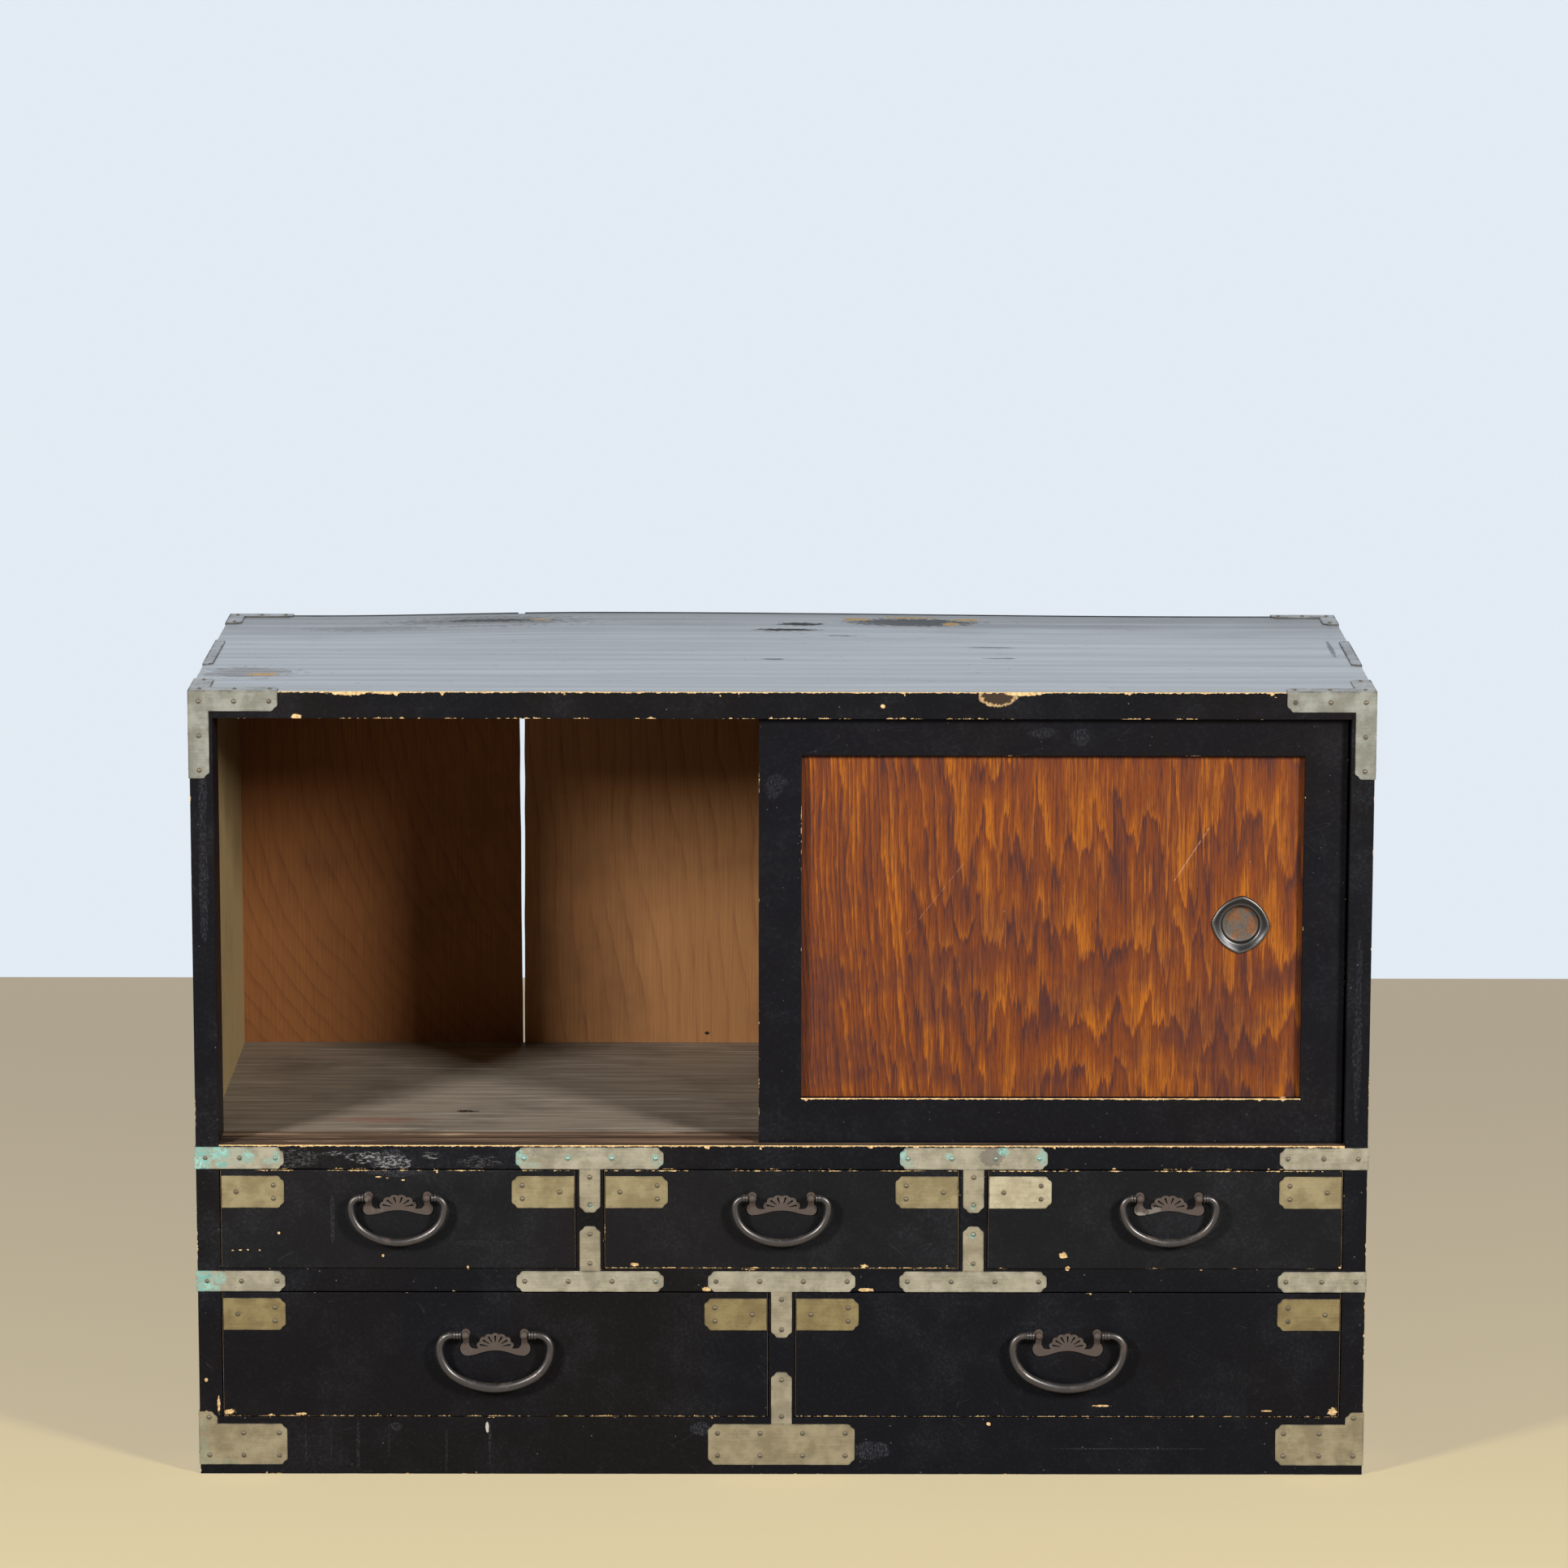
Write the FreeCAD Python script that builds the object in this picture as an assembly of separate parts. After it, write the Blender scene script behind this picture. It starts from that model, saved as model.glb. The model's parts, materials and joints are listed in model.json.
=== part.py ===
import FreeCAD, Part
import math
import os
from dataclasses import dataclass

# Clothing chest: a lacquered case with an open-fronted cupboard closed by two sliding doors,
# a row of three small drawers and a row of two large ones, and sheet metal mounts on its edges.
# Millimetres. The front faces -Y, +X is to the right, +Z is up, and the case stands on Z = 0.
# The origin is the middle of the whole object's footprint, handles and nail heads included.

V = FreeCAD.Vector

# Case, outside
case_width = 909.0
case_depth = 381.0
case_height = 621.0

# Front, from the floor up; the cupboard's opening takes what is left
base_rail_height = 46.0
lower_row_height = 101.5
drawer_rail_height = 18.0
upper_row_height = 80.0
sill_height = 19.0
head_band_height = 21.0

# Boards and the front frame
frame_depth = 45.0
post_width = 18.0
top_board_thickness = 12.0
side_board_thickness = 7.0
back_board_thickness = 9.0
base_rail_thickness = 20.0
bottom_board_thickness = 9.0
dust_board_thickness = 8.0
floor_board_thickness = 10.0
floor_step = 2.5
upper_divider_width = 21.0
lower_divider_width = 20.0
guide_height = 22.0

# Split between the two back boards: open at the top, closing towards the bottom
back_split_x = -214.8
back_split_top_width = 5.4
back_split_height = 480.0

# Door grooves in the sill and the head
front_lip = 9.5
groove_width = 5.4
groove_pitch = 22.6
sill_groove_depth = 3.0
head_groove_depth = 6.0

# Doors
stile_width = 33.0
door_top_rail_height = 29.5
door_bottom_rail_height = 34.5
door_thickness = 18.0
tongue_side_gap = 0.4
tongue_foot_gap = 0.3
tongue_head_gap = 1.5
door_body_gap = 0.8
door_end_gap = 1.5
tenon_length = 18.0
tenon_shoulder = 5.0
panel_thickness = 5.0
panel_recess = 7.0
panel_housing = 6.0
door_chamfer = 0.6

# Finger pull: a pointed rim round a dish let through the panel
pull_tip_radius = 23.0
pull_side_radius = 20.9
pull_rim_height = 1.8
pull_mouth_radius = 19.6
pull_floor_radius = 14.8
pull_depth = 4.4
pull_gauge = 0.8
pull_fit = 0.1
pull_from_stile = 47.5
pull_above_middle = 4.0
pull_turn_deg = 3.5
pull_edge = 0.5

# Drawers
drawer_setback = 0.8
drawer_side_gap = 0.8
drawer_top_gap = 1.2
drawer_foot_gap = 0.3
drawer_rear_gap = 6.0
drawer_front_thickness = 16.0
drawer_wall_thickness = 8.0
drawer_wall_housing = 7.0
drawer_wall_drop = 5.0
drawer_bottom_thickness = 5.0
drawer_chamfer = 0.8

# Sheet metal mounts and their dome-headed nails
plate_gauge = 0.8
plate_corner_cut = 5.0
nail_head_radius = 1.7
nail_head_height = 1.0
nail_shank_radius = 0.8
nail_hole_gap = 0.05
nail_bite = 5.0
nail_tip_gap = 0.2
drill_overrun = 0.5
corner_arm_width = 15.3
front_corner_arm_x = 68.0
front_corner_arm_y = 56.0
front_corner_arm_z = 67.6
rear_corner_arm_x = 52.0
rear_corner_arm_y = 48.0
rear_corner_arm_z = 52.0
rear_corner_arm_width = 12.5
edge_strap_start = 127.0
edge_strap_length = 118.0
edge_strap_top_leg = 7.5
edge_strap_side_leg = 15.0
rail_strap_front_leg = 68.2
rail_strap_side_leg = 60.0
rail_plate_margin = 1.6
crossbar_length = 114.6
divider_plate_width = 16.2
upper_divider_plate_length = 34.5
lower_divider_plate_length = 36.8
base_plate_bottom = 7.8
base_plate_top_margin = 5.3
base_tab_width = 13.8
base_tab_rise = 4.5
base_centre_length = 114.6
drawer_plate_length = 48.5
drawer_plate_height = 25.5
drawer_plate_top_margin = 4.5
nail_end_inset = 6.3
nail_edge_inset = 7.4
drawer_nail_end_inset = 8.2
drawer_nail_outer_inset = 11.3

# A cut corner of a mount: how far each point lies along its two edges
corner_cut_shares = ((1.0, 0.0), (0.75, 0.12), (0.5, 0.5), (0.12, 0.75), (0.0, 1.0))


@dataclass(frozen=True)
class Handle:
    """Sizes of a drawer handle: a swinging bail in two eye posts over an openwork plate."""
    bail_half_width: float
    bail_drop: float
    shoulder_radius: float
    side_radius: float
    tip_radius: float
    middle_radius: float
    rings: int
    plate_drop: float
    fan_height: float
    petals: int
    pivot_above_foot: float


# The pivot heights are measured from the lower edge of the drawer's opening
small_handle = Handle(
    bail_half_width=36.3, bail_drop=35.6, shoulder_radius=7.3, side_radius=25.0,
    tip_radius=1.9, middle_radius=2.95, rings=2, plate_drop=14.8, fan_height=10.0, petals=6,
    pivot_above_foot=58.4)
large_handle = Handle(
    bail_half_width=43.3, bail_drop=42.4, shoulder_radius=10.0, side_radius=28.5,
    tip_radius=2.2, middle_radius=3.5, rings=3, plate_drop=18.1, fan_height=11.1, petals=7,
    pivot_above_foot=67.9)

# The handle of the upper right drawer is nailed a little right of its middle
upper_right_handle_shift = 3.0

# What both handles share
handle_standoff = 8.0
eye_offset = 22.8
eye_radius = 3.2
eye_side_gap = 0.3
pivot_pin_radius = 1.3
pivot_pin_gap = 0.06
post_radius = 2.0
post_hole_gap = 0.05
post_tail = 1.5
rove_radius = 5.0
rove_thickness = 1.0
ring_rise = 0.45
ring_length = 1.1
ring_pitch = 1.9
handle_plate_gauge = 1.2
handle_plate_half_width = 27.3
ear_radius = 3.4
ear_neck_width = 4.6
fan_half_width = 14.4
slot_tip_radius = 0.8
slot_root_half_width = 0.3

# Outline of the handle plate's lower bar, as shares of its half width and its drop
bar_arch_share = (0.0, -0.76)
bar_turn_share = (0.44, -0.88)
bar_sweep_share = (0.62, -0.96)
bar_low_share = (0.787, -1.0)
bar_lobe_share = (1.0, -0.665)
bar_shoulder_share = (0.9, -0.4)
bar_neck_share = (0.75, -0.44)
bar_throat_share = (0.71, -0.6)
bar_valley_share = (0.64, -0.69)
fan_hub_share = 0.63
fan_root_share = 0.73
petal_valley_share = 0.93
petal_tip_share = 1.03
slot_root_share = 0.4
slot_tip_share = 0.8

# How a bail thickens from its tips to its middle, and how finely its sections are laid
bail_swell_power = 1.5
bail_sections = 13

# Levels and planes that follow from the sizes
half_width = case_width / 2
inner_half_width = half_width - post_width
side_inner_x = half_width - side_board_thickness
lower_row_z = base_rail_height
drawer_rail_z = lower_row_z + lower_row_height
upper_row_z = drawer_rail_z + drawer_rail_height
sill_z = upper_row_z + upper_row_height
sill_top_z = sill_z + sill_height
head_z = case_height - head_band_height
top_under_z = case_height - top_board_thickness
floor_top_z = sill_top_z - floor_step
split_foot_z = case_height - back_split_height

handle_reach = handle_standoff + max(large_handle.middle_radius, eye_radius) - drawer_setback
nail_reach = plate_gauge + nail_head_height
front_y = (handle_reach - nail_reach - case_depth) / 2
back_y = front_y + case_depth
back_board_y = back_y - back_board_thickness
frame_back_y = front_y + frame_depth
drawer_face_y = front_y + drawer_setback
handle_axis_y = drawer_face_y - handle_standoff


def box(x0, x1, y0, y1, z0, z1):
    """A block between two X, two Y and two Z values."""
    return Part.makeBox(x1 - x0, y1 - y0, z1 - z0, V(x0, y0, z0))


def rod(start, direction, radius, length):
    """A round bar from a point along a direction."""
    return Part.makeCylinder(radius, length, start, direction)


def joined(shapes):
    """One solid from several that meet."""
    whole = shapes[0].fuse(shapes[1:])
    return whole.removeSplitter()


def save(node, solids):
    """Writes a node's solids to its file, as loose solids in one compound."""
    loose = []
    for shape in solids:
        loose.extend(shape.Solids)
    shape = loose[0] if len(loose) == 1 else Part.makeCompound(loose)
    shape.exportStep(os.path.join("parts", node + ".step"))
    print(node, len(loose), "solids, valid", all(s.isValid() for s in loose))


def chamfered_front(shape, size):
    """Chamfers the edges round a board's front face, the flat face furthest towards -Y."""
    face = min(shape.Faces, key=lambda f: (round(f.CenterOfMass.y, 4), -f.Area))
    return shape.makeChamfer(size, face.Edges)


# Nails

class NailSet:
    """Nails driven through one group of mounts, and the holes they stand in."""

    def __init__(self):
        self.nails = []
        self.drills = []

    def drive(self, seat, outward):
        """Adds a nail whose head sits at a point of a plate's outer face."""
        length = plate_gauge + nail_bite
        dome_radius = (nail_head_radius ** 2 + nail_head_height ** 2) / (2 * nail_head_height)
        half_angle = math.asin(nail_head_radius / dome_radius) / 2
        middle = V(dome_radius * math.sin(half_angle), 0,
                   nail_head_height - dome_radius * (1 - math.cos(half_angle)))
        crown, rim = V(0, 0, nail_head_height), V(nail_head_radius, 0, 0)
        corners = [rim, V(nail_shank_radius, 0, 0), V(nail_shank_radius, 0, -length),
                   V(0, 0, -length), crown]
        edges = [Part.Arc(crown, middle, rim).toShape()]
        edges += [Part.makeLine(a, b) for a, b in zip(corners, corners[1:])]
        nail = Part.Face(Part.Wire(edges)).revolve(V(0, 0, 0), V(0, 0, 1), 360)
        nail.Placement = FreeCAD.Placement(seat, FreeCAD.Rotation(V(0, 0, 1), outward))
        self.nails.append(nail)
        self.drills.append(rod(seat + outward * drill_overrun, outward * -1,
                               nail_shank_radius + nail_hole_gap,
                               drill_overrun + length + nail_tip_gap))

    def drilled(self, shape):
        """Cuts the holes of the nails that reach a piece."""
        near = [d for d in self.drills if d.BoundBox.intersect(shape.BoundBox)]
        return shape.cut(near) if near else shape


# Sheet metal mounts

def notched(a0, a1, b0, b1, cuts):
    """Outline of a plate in its own plane; cuts lists the corners with a stepped cut.

    Corners are numbered 0 to 3 from (a0, b0) by (a1, b0) and (a1, b1) to (a0, b1).
    """
    corners = [(a0, b0), (a1, b0), (a1, b1), (a0, b1)]
    outline = []
    for i, (a, b) in enumerate(corners):
        if i not in cuts:
            outline.append((a, b))
            continue
        before, after = corners[i - 1], corners[(i + 1) % 4]
        back = (math.copysign(1, before[0] - a) * (before[0] != a),
                math.copysign(1, before[1] - b) * (before[1] != b))
        ahead = (math.copysign(1, after[0] - a) * (after[0] != a),
                 math.copysign(1, after[1] - b) * (after[1] != b))
        for s, t in corner_cut_shares:
            outline.append((a + plate_corner_cut * (s * back[0] + t * ahead[0]),
                            b + plate_corner_cut * (s * back[1] + t * ahead[1])))
    return outline


def sheet(points, outward, gauge=plate_gauge):
    """A plate lying on a face, from its outline on that face."""
    wire = Part.makePolygon([*points, points[0]])
    return Part.Face(wire).extrude(outward * gauge)


class Corner:
    """An upright edge of the case; x and y are distances inwards from it, z is a height."""

    def __init__(self, side, rear=False):
        self.side = side
        self.rear = rear
        self.out_x = V(side, 0, 0)
        self.out_y = V(0, 1 if rear else -1, 0)
        self.out_z = V(0, 0, 1)

    def at(self, x, y, z):
        """The point so far inwards from the edge."""
        return V(self.side * (half_width - x), back_y - y if self.rear else front_y + y, z)

    def face_leg(self, outline):
        """A plate on the front or back, its outline in x and z."""
        return sheet([self.at(x, 0, z) for x, z in outline], self.out_y)

    def side_leg(self, outline):
        """A plate on the side, its outline in y and z."""
        return sheet([self.at(0, y, z) for y, z in outline], self.out_x)

    def top_leg(self, outline):
        """A plate on the top, its outline in x and y."""
        return sheet([self.at(x, y, case_height) for x, y in outline], self.out_z)

    def face_nail(self, nails, x, z):
        """A nail through the plate on the front or back."""
        nails.drive(self.at(x, -plate_gauge, z), self.out_y)

    def side_nail(self, nails, y, z):
        """A nail through the plate on the side."""
        nails.drive(self.at(-plate_gauge, y, z), self.out_x)

    def top_nail(self, nails, x, y):
        """A nail through the plate on the top."""
        nails.drive(self.at(x, y, case_height + plate_gauge), self.out_z)


def corner_bracket(corner, arm_x, arm_y, arm_z, width, nails):
    """A three-way bracket over a top corner: two arms on each of the three faces."""
    g = plate_gauge
    top, low, foot = case_height + g, case_height - width, case_height - arm_z
    legs = [
        corner.face_leg(notched(-g, arm_x, low, top, (1,))),
        corner.face_leg(notched(-g, width, foot, case_height, (1,))),
        corner.top_leg(notched(-g, arm_x, -g, width, (2,))),
        corner.top_leg(notched(-g, width, 0, arm_y, (2,))),
        corner.side_leg(notched(-g, arm_y, low, top, (1,))),
        corner.side_leg(notched(-g, width, foot, case_height, (1,)))]
    middle, across = width / 2, case_height - width / 2
    far_x, far_y, far_z = arm_x - nail_end_inset, arm_y - nail_end_inset, foot + nail_end_inset
    for x in (middle, (middle + far_x) / 2, far_x):
        corner.face_nail(nails, x, across)
    for z in ((across + far_z) / 2, far_z):
        corner.face_nail(nails, middle, z)
        corner.side_nail(nails, middle, z)
    for x in ((middle + far_x) / 2, far_x):
        corner.top_nail(nails, x, middle)
    for y in (middle, far_y):
        corner.top_nail(nails, middle, y)
    corner.side_nail(nails, far_y, across)
    return joined(legs)


def edge_strap(corner, nails):
    """A strap over the top's side edge, half way back."""
    g = plate_gauge
    y0, y1 = edge_strap_start, edge_strap_start + edge_strap_length
    low = case_height - edge_strap_side_leg
    legs = [corner.top_leg(notched(-g, edge_strap_top_leg, y0, y1, (1, 2))),
            corner.side_leg(notched(y0, y1, low, case_height, (0, 1)))]
    for y in (y0 + nail_end_inset, (y0 + y1) / 2, y1 - nail_end_inset):
        corner.side_nail(nails, y, case_height - edge_strap_side_leg / 2)
    return joined(legs)


def rail_strap(corner, z0, z1, nails):
    """A strap round the front edge of the case at the end of a rail."""
    g = plate_gauge
    legs = [corner.face_leg(notched(-g, rail_strap_front_leg, z0, z1, (1, 2))),
            corner.side_leg(notched(-g, rail_strap_side_leg, z0, z1, (1, 2)))]
    middle_z = (z0 + z1) / 2
    for leg, drive in ((rail_strap_front_leg, corner.face_nail),
                       (rail_strap_side_leg, corner.side_nail)):
        for place in (nail_edge_inset, leg / 2, leg - nail_end_inset):
            drive(nails, place, middle_z)
    return joined(legs)


def base_corner(corner, nails):
    """The wide mount round a front corner of the base, with a tab up each post."""
    g = plate_gauge
    z0, z1 = base_plate_bottom, base_rail_height - base_plate_top_margin
    tab_z = base_rail_height + base_tab_rise
    legs = [corner.face_leg(notched(-g, rail_strap_front_leg, z0, z1, (1, 2))),
            corner.face_leg(notched(-g, base_tab_width, z1, tab_z, (2,))),
            corner.side_leg(notched(-g, rail_strap_side_leg, z0, z1, (1, 2))),
            corner.side_leg(notched(-g, base_tab_width, z1, tab_z, (2,)))]
    low, high = z0 + nail_edge_inset, z1 - nail_edge_inset
    for leg, drive in ((rail_strap_front_leg, corner.face_nail),
                       (rail_strap_side_leg, corner.side_nail)):
        for place in (nail_edge_inset, leg / 2, leg - nail_end_inset):
            drive(nails, place, low)
            drive(nails, place, high if place > nail_edge_inset else base_rail_height)
    return joined(legs)


def front_plate(x0, x1, z0, z1, cuts):
    """A flat mount on the front of the case."""
    return sheet([V(x, front_y, z) for x, z in notched(x0, x1, z0, z1, cuts)], V(0, -1, 0))


def front_nail(nails, x, z):
    """A nail through a flat mount on the front of the case."""
    nails.drive(V(x, front_y - plate_gauge, z), V(0, -1, 0))


def crossbar(x, z0, z1, nails):
    """A plate along a rail, centred on a divider, with four nails in a row."""
    x0, x1 = x - crossbar_length / 2, x + crossbar_length / 2
    first, last = x0 + nail_end_inset, x1 - nail_end_inset
    for i in range(4):
        front_nail(nails, first + (last - first) * i / 3, (z0 + z1) / 2)
    return front_plate(x0, x1, z0, z1, (0, 1, 2, 3))


def divider_plate(x, z_rail, z_free, nails):
    """A plate down or up a divider, square at the rail and cut at its free end."""
    half = divider_plate_width / 2
    inwards = math.copysign(1, z_free - z_rail)
    front_nail(nails, x, z_rail + inwards * nail_end_inset)
    front_nail(nails, x, z_free - inwards * nail_end_inset)
    return front_plate(x - half, x + half, z_rail, z_free, (2, 3))


def base_centre(nails):
    """The long mount at the middle of the base, with two rows of four nails."""
    half = base_centre_length / 2
    z0, z1 = base_plate_bottom, base_rail_height - base_plate_top_margin
    first, last = -half + nail_edge_inset, half - nail_edge_inset
    for i in range(4):
        for z in (z0 + nail_edge_inset, z1 - nail_edge_inset):
            front_nail(nails, first + (last - first) * i / 3, z)
    return front_plate(-half, half, z0, z1, (0, 1, 2, 3))


# Case

def door_grooves(z0, z1):
    """The two cutters that open the door grooves between two heights."""
    cutters = []
    for y in (front_y + front_lip, front_y + front_lip + groove_pitch):
        cutters.append(box(-inner_half_width, inner_half_width, y, y + groove_width, z0, z1))
    return cutters


def back_board(side):
    """One of the two back boards; the edges that face each other splay from their foot."""
    top_x = back_split_x + side * back_split_top_width / 2
    points = [V(side * half_width, back_board_y, 0), V(side * half_width, back_board_y, case_height),
              V(top_x, back_board_y, case_height), V(back_split_x, back_board_y, split_foot_z),
              V(back_split_x, back_board_y, 0)]
    return sheet(points, V(0, 1, 0), back_board_thickness)


def upper_divider_xs():
    """Centres of the two dividers in the upper row, which part it into three equal openings."""
    opening = (2 * inner_half_width - 2 * upper_divider_width) / 3
    return [side * (opening + upper_divider_width) / 2 for side in (-1, 1)]


def guide(x0, x1, row_z):
    """A strip that a row's drawers run along."""
    return box(x0, x1, frame_back_y, back_board_y, row_z, row_z + guide_height)


def make_case():
    """The boards and frame of the case, by node."""
    posts = [box(min(s * half_width, s * inner_half_width), max(s * half_width, s * inner_half_width),
                 front_y, frame_back_y, 0, top_under_z) for s in (-1, 1)]
    side_boards = {}
    for name, s in (("left_side_board", -1), ("right_side_board", 1)):
        ends = sorted((s * half_width, s * side_inner_x))
        side_boards[name] = [box(*ends, frame_back_y, back_board_y, 0, top_under_z)]
    base_back_y = front_y + base_rail_thickness
    bottom = box(-side_inner_x, side_inner_x, base_back_y, back_board_y,
                 base_rail_height - bottom_board_thickness, base_rail_height).cut(posts)
    inner = (-inner_half_width, inner_half_width)
    sill = box(*inner, front_y, frame_back_y, sill_z, sill_top_z).cut(
        door_grooves(sill_top_z - sill_groove_depth, sill_top_z))
    head = box(*inner, front_y, frame_back_y, head_z, top_under_z).cut(
        door_grooves(head_z, head_z + head_groove_depth))
    within = (-side_inner_x, side_inner_x, frame_back_y, back_board_y)
    half_upper, half_lower = upper_divider_width / 2, lower_divider_width / 2
    dividers = [box(x - half_upper, x + half_upper, front_y, frame_back_y, upper_row_z, sill_z)
                for x in upper_divider_xs()]
    dividers.append(box(-half_lower, half_lower, front_y, frame_back_y, lower_row_z, drawer_rail_z))
    guides = []
    for row_z in (lower_row_z, upper_row_z):
        guides.append(guide(-side_inner_x, -inner_half_width, row_z))
        guides.append(guide(inner_half_width, side_inner_x, row_z))
    guides += [guide(x - half_upper, x + half_upper, upper_row_z) for x in upper_divider_xs()]
    guides.append(guide(-half_lower, half_lower, lower_row_z))
    return {
        "top_board": [box(-half_width, half_width, front_y, back_board_y, top_under_z, case_height)],
        **side_boards,
        "front_posts": posts,
        "bottom_board": [bottom],
        "base_rail": [box(*inner, front_y, base_back_y, 0, base_rail_height)],
        "back_boards": [back_board(-1), back_board(1)],
        "door_head": [head],
        "door_sill": [sill],
        "cupboard_floor": [box(*within, floor_top_z - floor_board_thickness, floor_top_z)],
        "drawer_rail": [box(*inner, front_y, frame_back_y, drawer_rail_z, upper_row_z)],
        "dust_board": [box(*within, upper_row_z - dust_board_thickness, upper_row_z)],
        "drawer_dividers": dividers,
        "drawer_guides": guides}


def make_case_mounts(nails):
    """The sheet metal on the case, by node; its nails are added to the set."""
    left, right = Corner(-1), Corner(1)
    rear_left, rear_right = Corner(-1, True), Corner(1, True)
    sill_band = (sill_z, sill_top_z - rail_plate_margin)
    rail_band = (drawer_rail_z, upper_row_z - rail_plate_margin)
    front_arms = (front_corner_arm_x, front_corner_arm_y, front_corner_arm_z, corner_arm_width)
    rear_arms = (rear_corner_arm_x, rear_corner_arm_y, rear_corner_arm_z, rear_corner_arm_width)
    upper_xs = upper_divider_xs()
    crossbars = [crossbar(x, *sill_band, nails) for x in upper_xs]
    crossbars += [crossbar(x, *rail_band, nails) for x in (upper_xs[0], 0, upper_xs[1])]
    verticals = []
    for x in upper_xs:
        verticals.append(divider_plate(x, sill_z, sill_z - upper_divider_plate_length, nails))
        verticals.append(divider_plate(x, upper_row_z - rail_plate_margin,
                                       upper_row_z + upper_divider_plate_length, nails))
    verticals.append(divider_plate(0, drawer_rail_z, drawer_rail_z - lower_divider_plate_length,
                                   nails))
    verticals.append(divider_plate(0, base_rail_height - base_plate_top_margin,
                                   lower_row_z + lower_divider_plate_length, nails))
    return {
        "top_front_corners": [corner_bracket(c, *front_arms, nails) for c in (left, right)],
        "top_rear_corners": [corner_bracket(c, *rear_arms, nails) for c in (rear_left, rear_right)],
        "side_edge_straps": [edge_strap(c, nails) for c in (left, right)],
        "rail_end_straps": [rail_strap(c, *band, nails)
                            for band in (sill_band, rail_band) for c in (left, right)],
        "crossbar_plates": crossbars,
        "divider_plates": verticals,
        "base_plates": [base_corner(left, nails), base_centre(nails), base_corner(right, nails)]}


# Doors

def finger_pull(x, y, z):
    """A dished pull with a four-pointed rim, seated on a panel whose face is at y."""
    tips, sides = [], []
    for quarter in range(4):
        for points, radius, turn in ((tips, pull_tip_radius, 0), (sides, pull_side_radius, 45)):
            angle = math.radians(90 * quarter + turn - pull_turn_deg)
            points.append(V(x + radius * math.cos(angle), y, z + radius * math.sin(angle)))
    edges = [Part.Arc(tips[i], sides[i], tips[(i + 1) % 4]).toShape() for i in range(4)]
    rim = Part.Face(Part.Wire(edges)).extrude(V(0, -pull_rim_height, 0))
    front = min(rim.Faces, key=lambda f: f.CenterOfMass.y)
    rim = rim.makeChamfer(pull_edge, front.Edges)
    inward = V(0, 1, 0)
    cup = rod(V(x, y, z), inward, pull_floor_radius + pull_gauge, pull_depth + pull_gauge)
    mouth_y = y - pull_rim_height
    flare = Part.makeCone(pull_mouth_radius, pull_floor_radius, pull_rim_height,
                          V(x, mouth_y, z), inward)
    dish = rod(V(x, y, z), inward, pull_floor_radius, pull_depth)
    return joined([rim, cup]).cut([flare, dish])


def make_door(side, y_face, x_left, pull_on_right):
    """A sliding door of two stiles, two rails, a panel and a pull, by node."""
    width = inner_half_width + stile_width / 2
    x_right = x_left + width
    z0, z1 = sill_top_z + door_body_gap, head_z - door_body_gap
    y_back = y_face + door_thickness
    foot_z = sill_top_z - sill_groove_depth + tongue_foot_gap
    crown_z = head_z + head_groove_depth - tongue_head_gap
    tongue_back = y_face + groove_width - 2 * tongue_side_gap

    def member(xa, xb, za, zb, tongue_z=None):
        """A frame member, with the tongue that runs in a groove where it has one."""
        pieces = [chamfered_front(box(xa, xb, y_face, y_back, za, zb), door_chamfer)]
        for end in tongue_z or ():
            za_t, zb_t = sorted((end, za + door_thickness if end < za else zb - door_thickness))
            pieces.append(box(xa, xb, y_face + door_chamfer, tongue_back, za_t, zb_t))
        return joined(pieces) if len(pieces) > 1 else pieces[0]

    panel_y0 = y_face + panel_recess
    panel_y1 = panel_y0 + panel_thickness
    in_left, in_right = x_left + stile_width, x_right - stile_width
    z_low, z_high = z0 + door_bottom_rail_height, z1 - door_top_rail_height
    panel_box = (in_left - panel_housing, in_right + panel_housing, panel_y0, panel_y1,
                 z_low - panel_housing, z_high + panel_housing)
    panel_solid = box(*panel_box)
    tenons = []
    for za, zb in ((z0 + tenon_shoulder, z_low - panel_housing),
                   (z_high + panel_housing, z1 - tenon_shoulder)):
        tenons.append(box(in_left - tenon_length, in_left, panel_y0, panel_y1, za, zb))
        tenons.append(box(in_right, in_right + tenon_length, panel_y0, panel_y1, za, zb))
    stiles = [member(xa, xb, z0, z1, (foot_z, crown_z)).cut([panel_solid, *tenons])
              for xa, xb in ((x_left, in_left), (in_right, x_right))]
    bottom_rail = joined([member(in_left, in_right, z0, z_low, (foot_z,)), *tenons[:2]])
    top_rail = joined([member(in_left, in_right, z_high, z1, (crown_z,)), *tenons[2:]])
    rails = [rail.cut(panel_solid) for rail in (bottom_rail, top_rail)]

    pull_x = in_right - pull_from_stile if pull_on_right else in_left + pull_from_stile
    pull_z = (sill_top_z + head_z) / 2 + pull_above_middle
    hole = rod(V(pull_x, panel_y0 - drill_overrun, pull_z), V(0, 1, 0),
               pull_floor_radius + pull_gauge + pull_fit,
               panel_thickness + 2 * drill_overrun)
    return {side + "_door_stiles": stiles,
            side + "_door_rails": rails,
            side + "_door_panel": [panel_solid.cut(hole)],
            side + "_door_pull": [finger_pull(pull_x, panel_y0, pull_z)]}


# Handles

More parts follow.
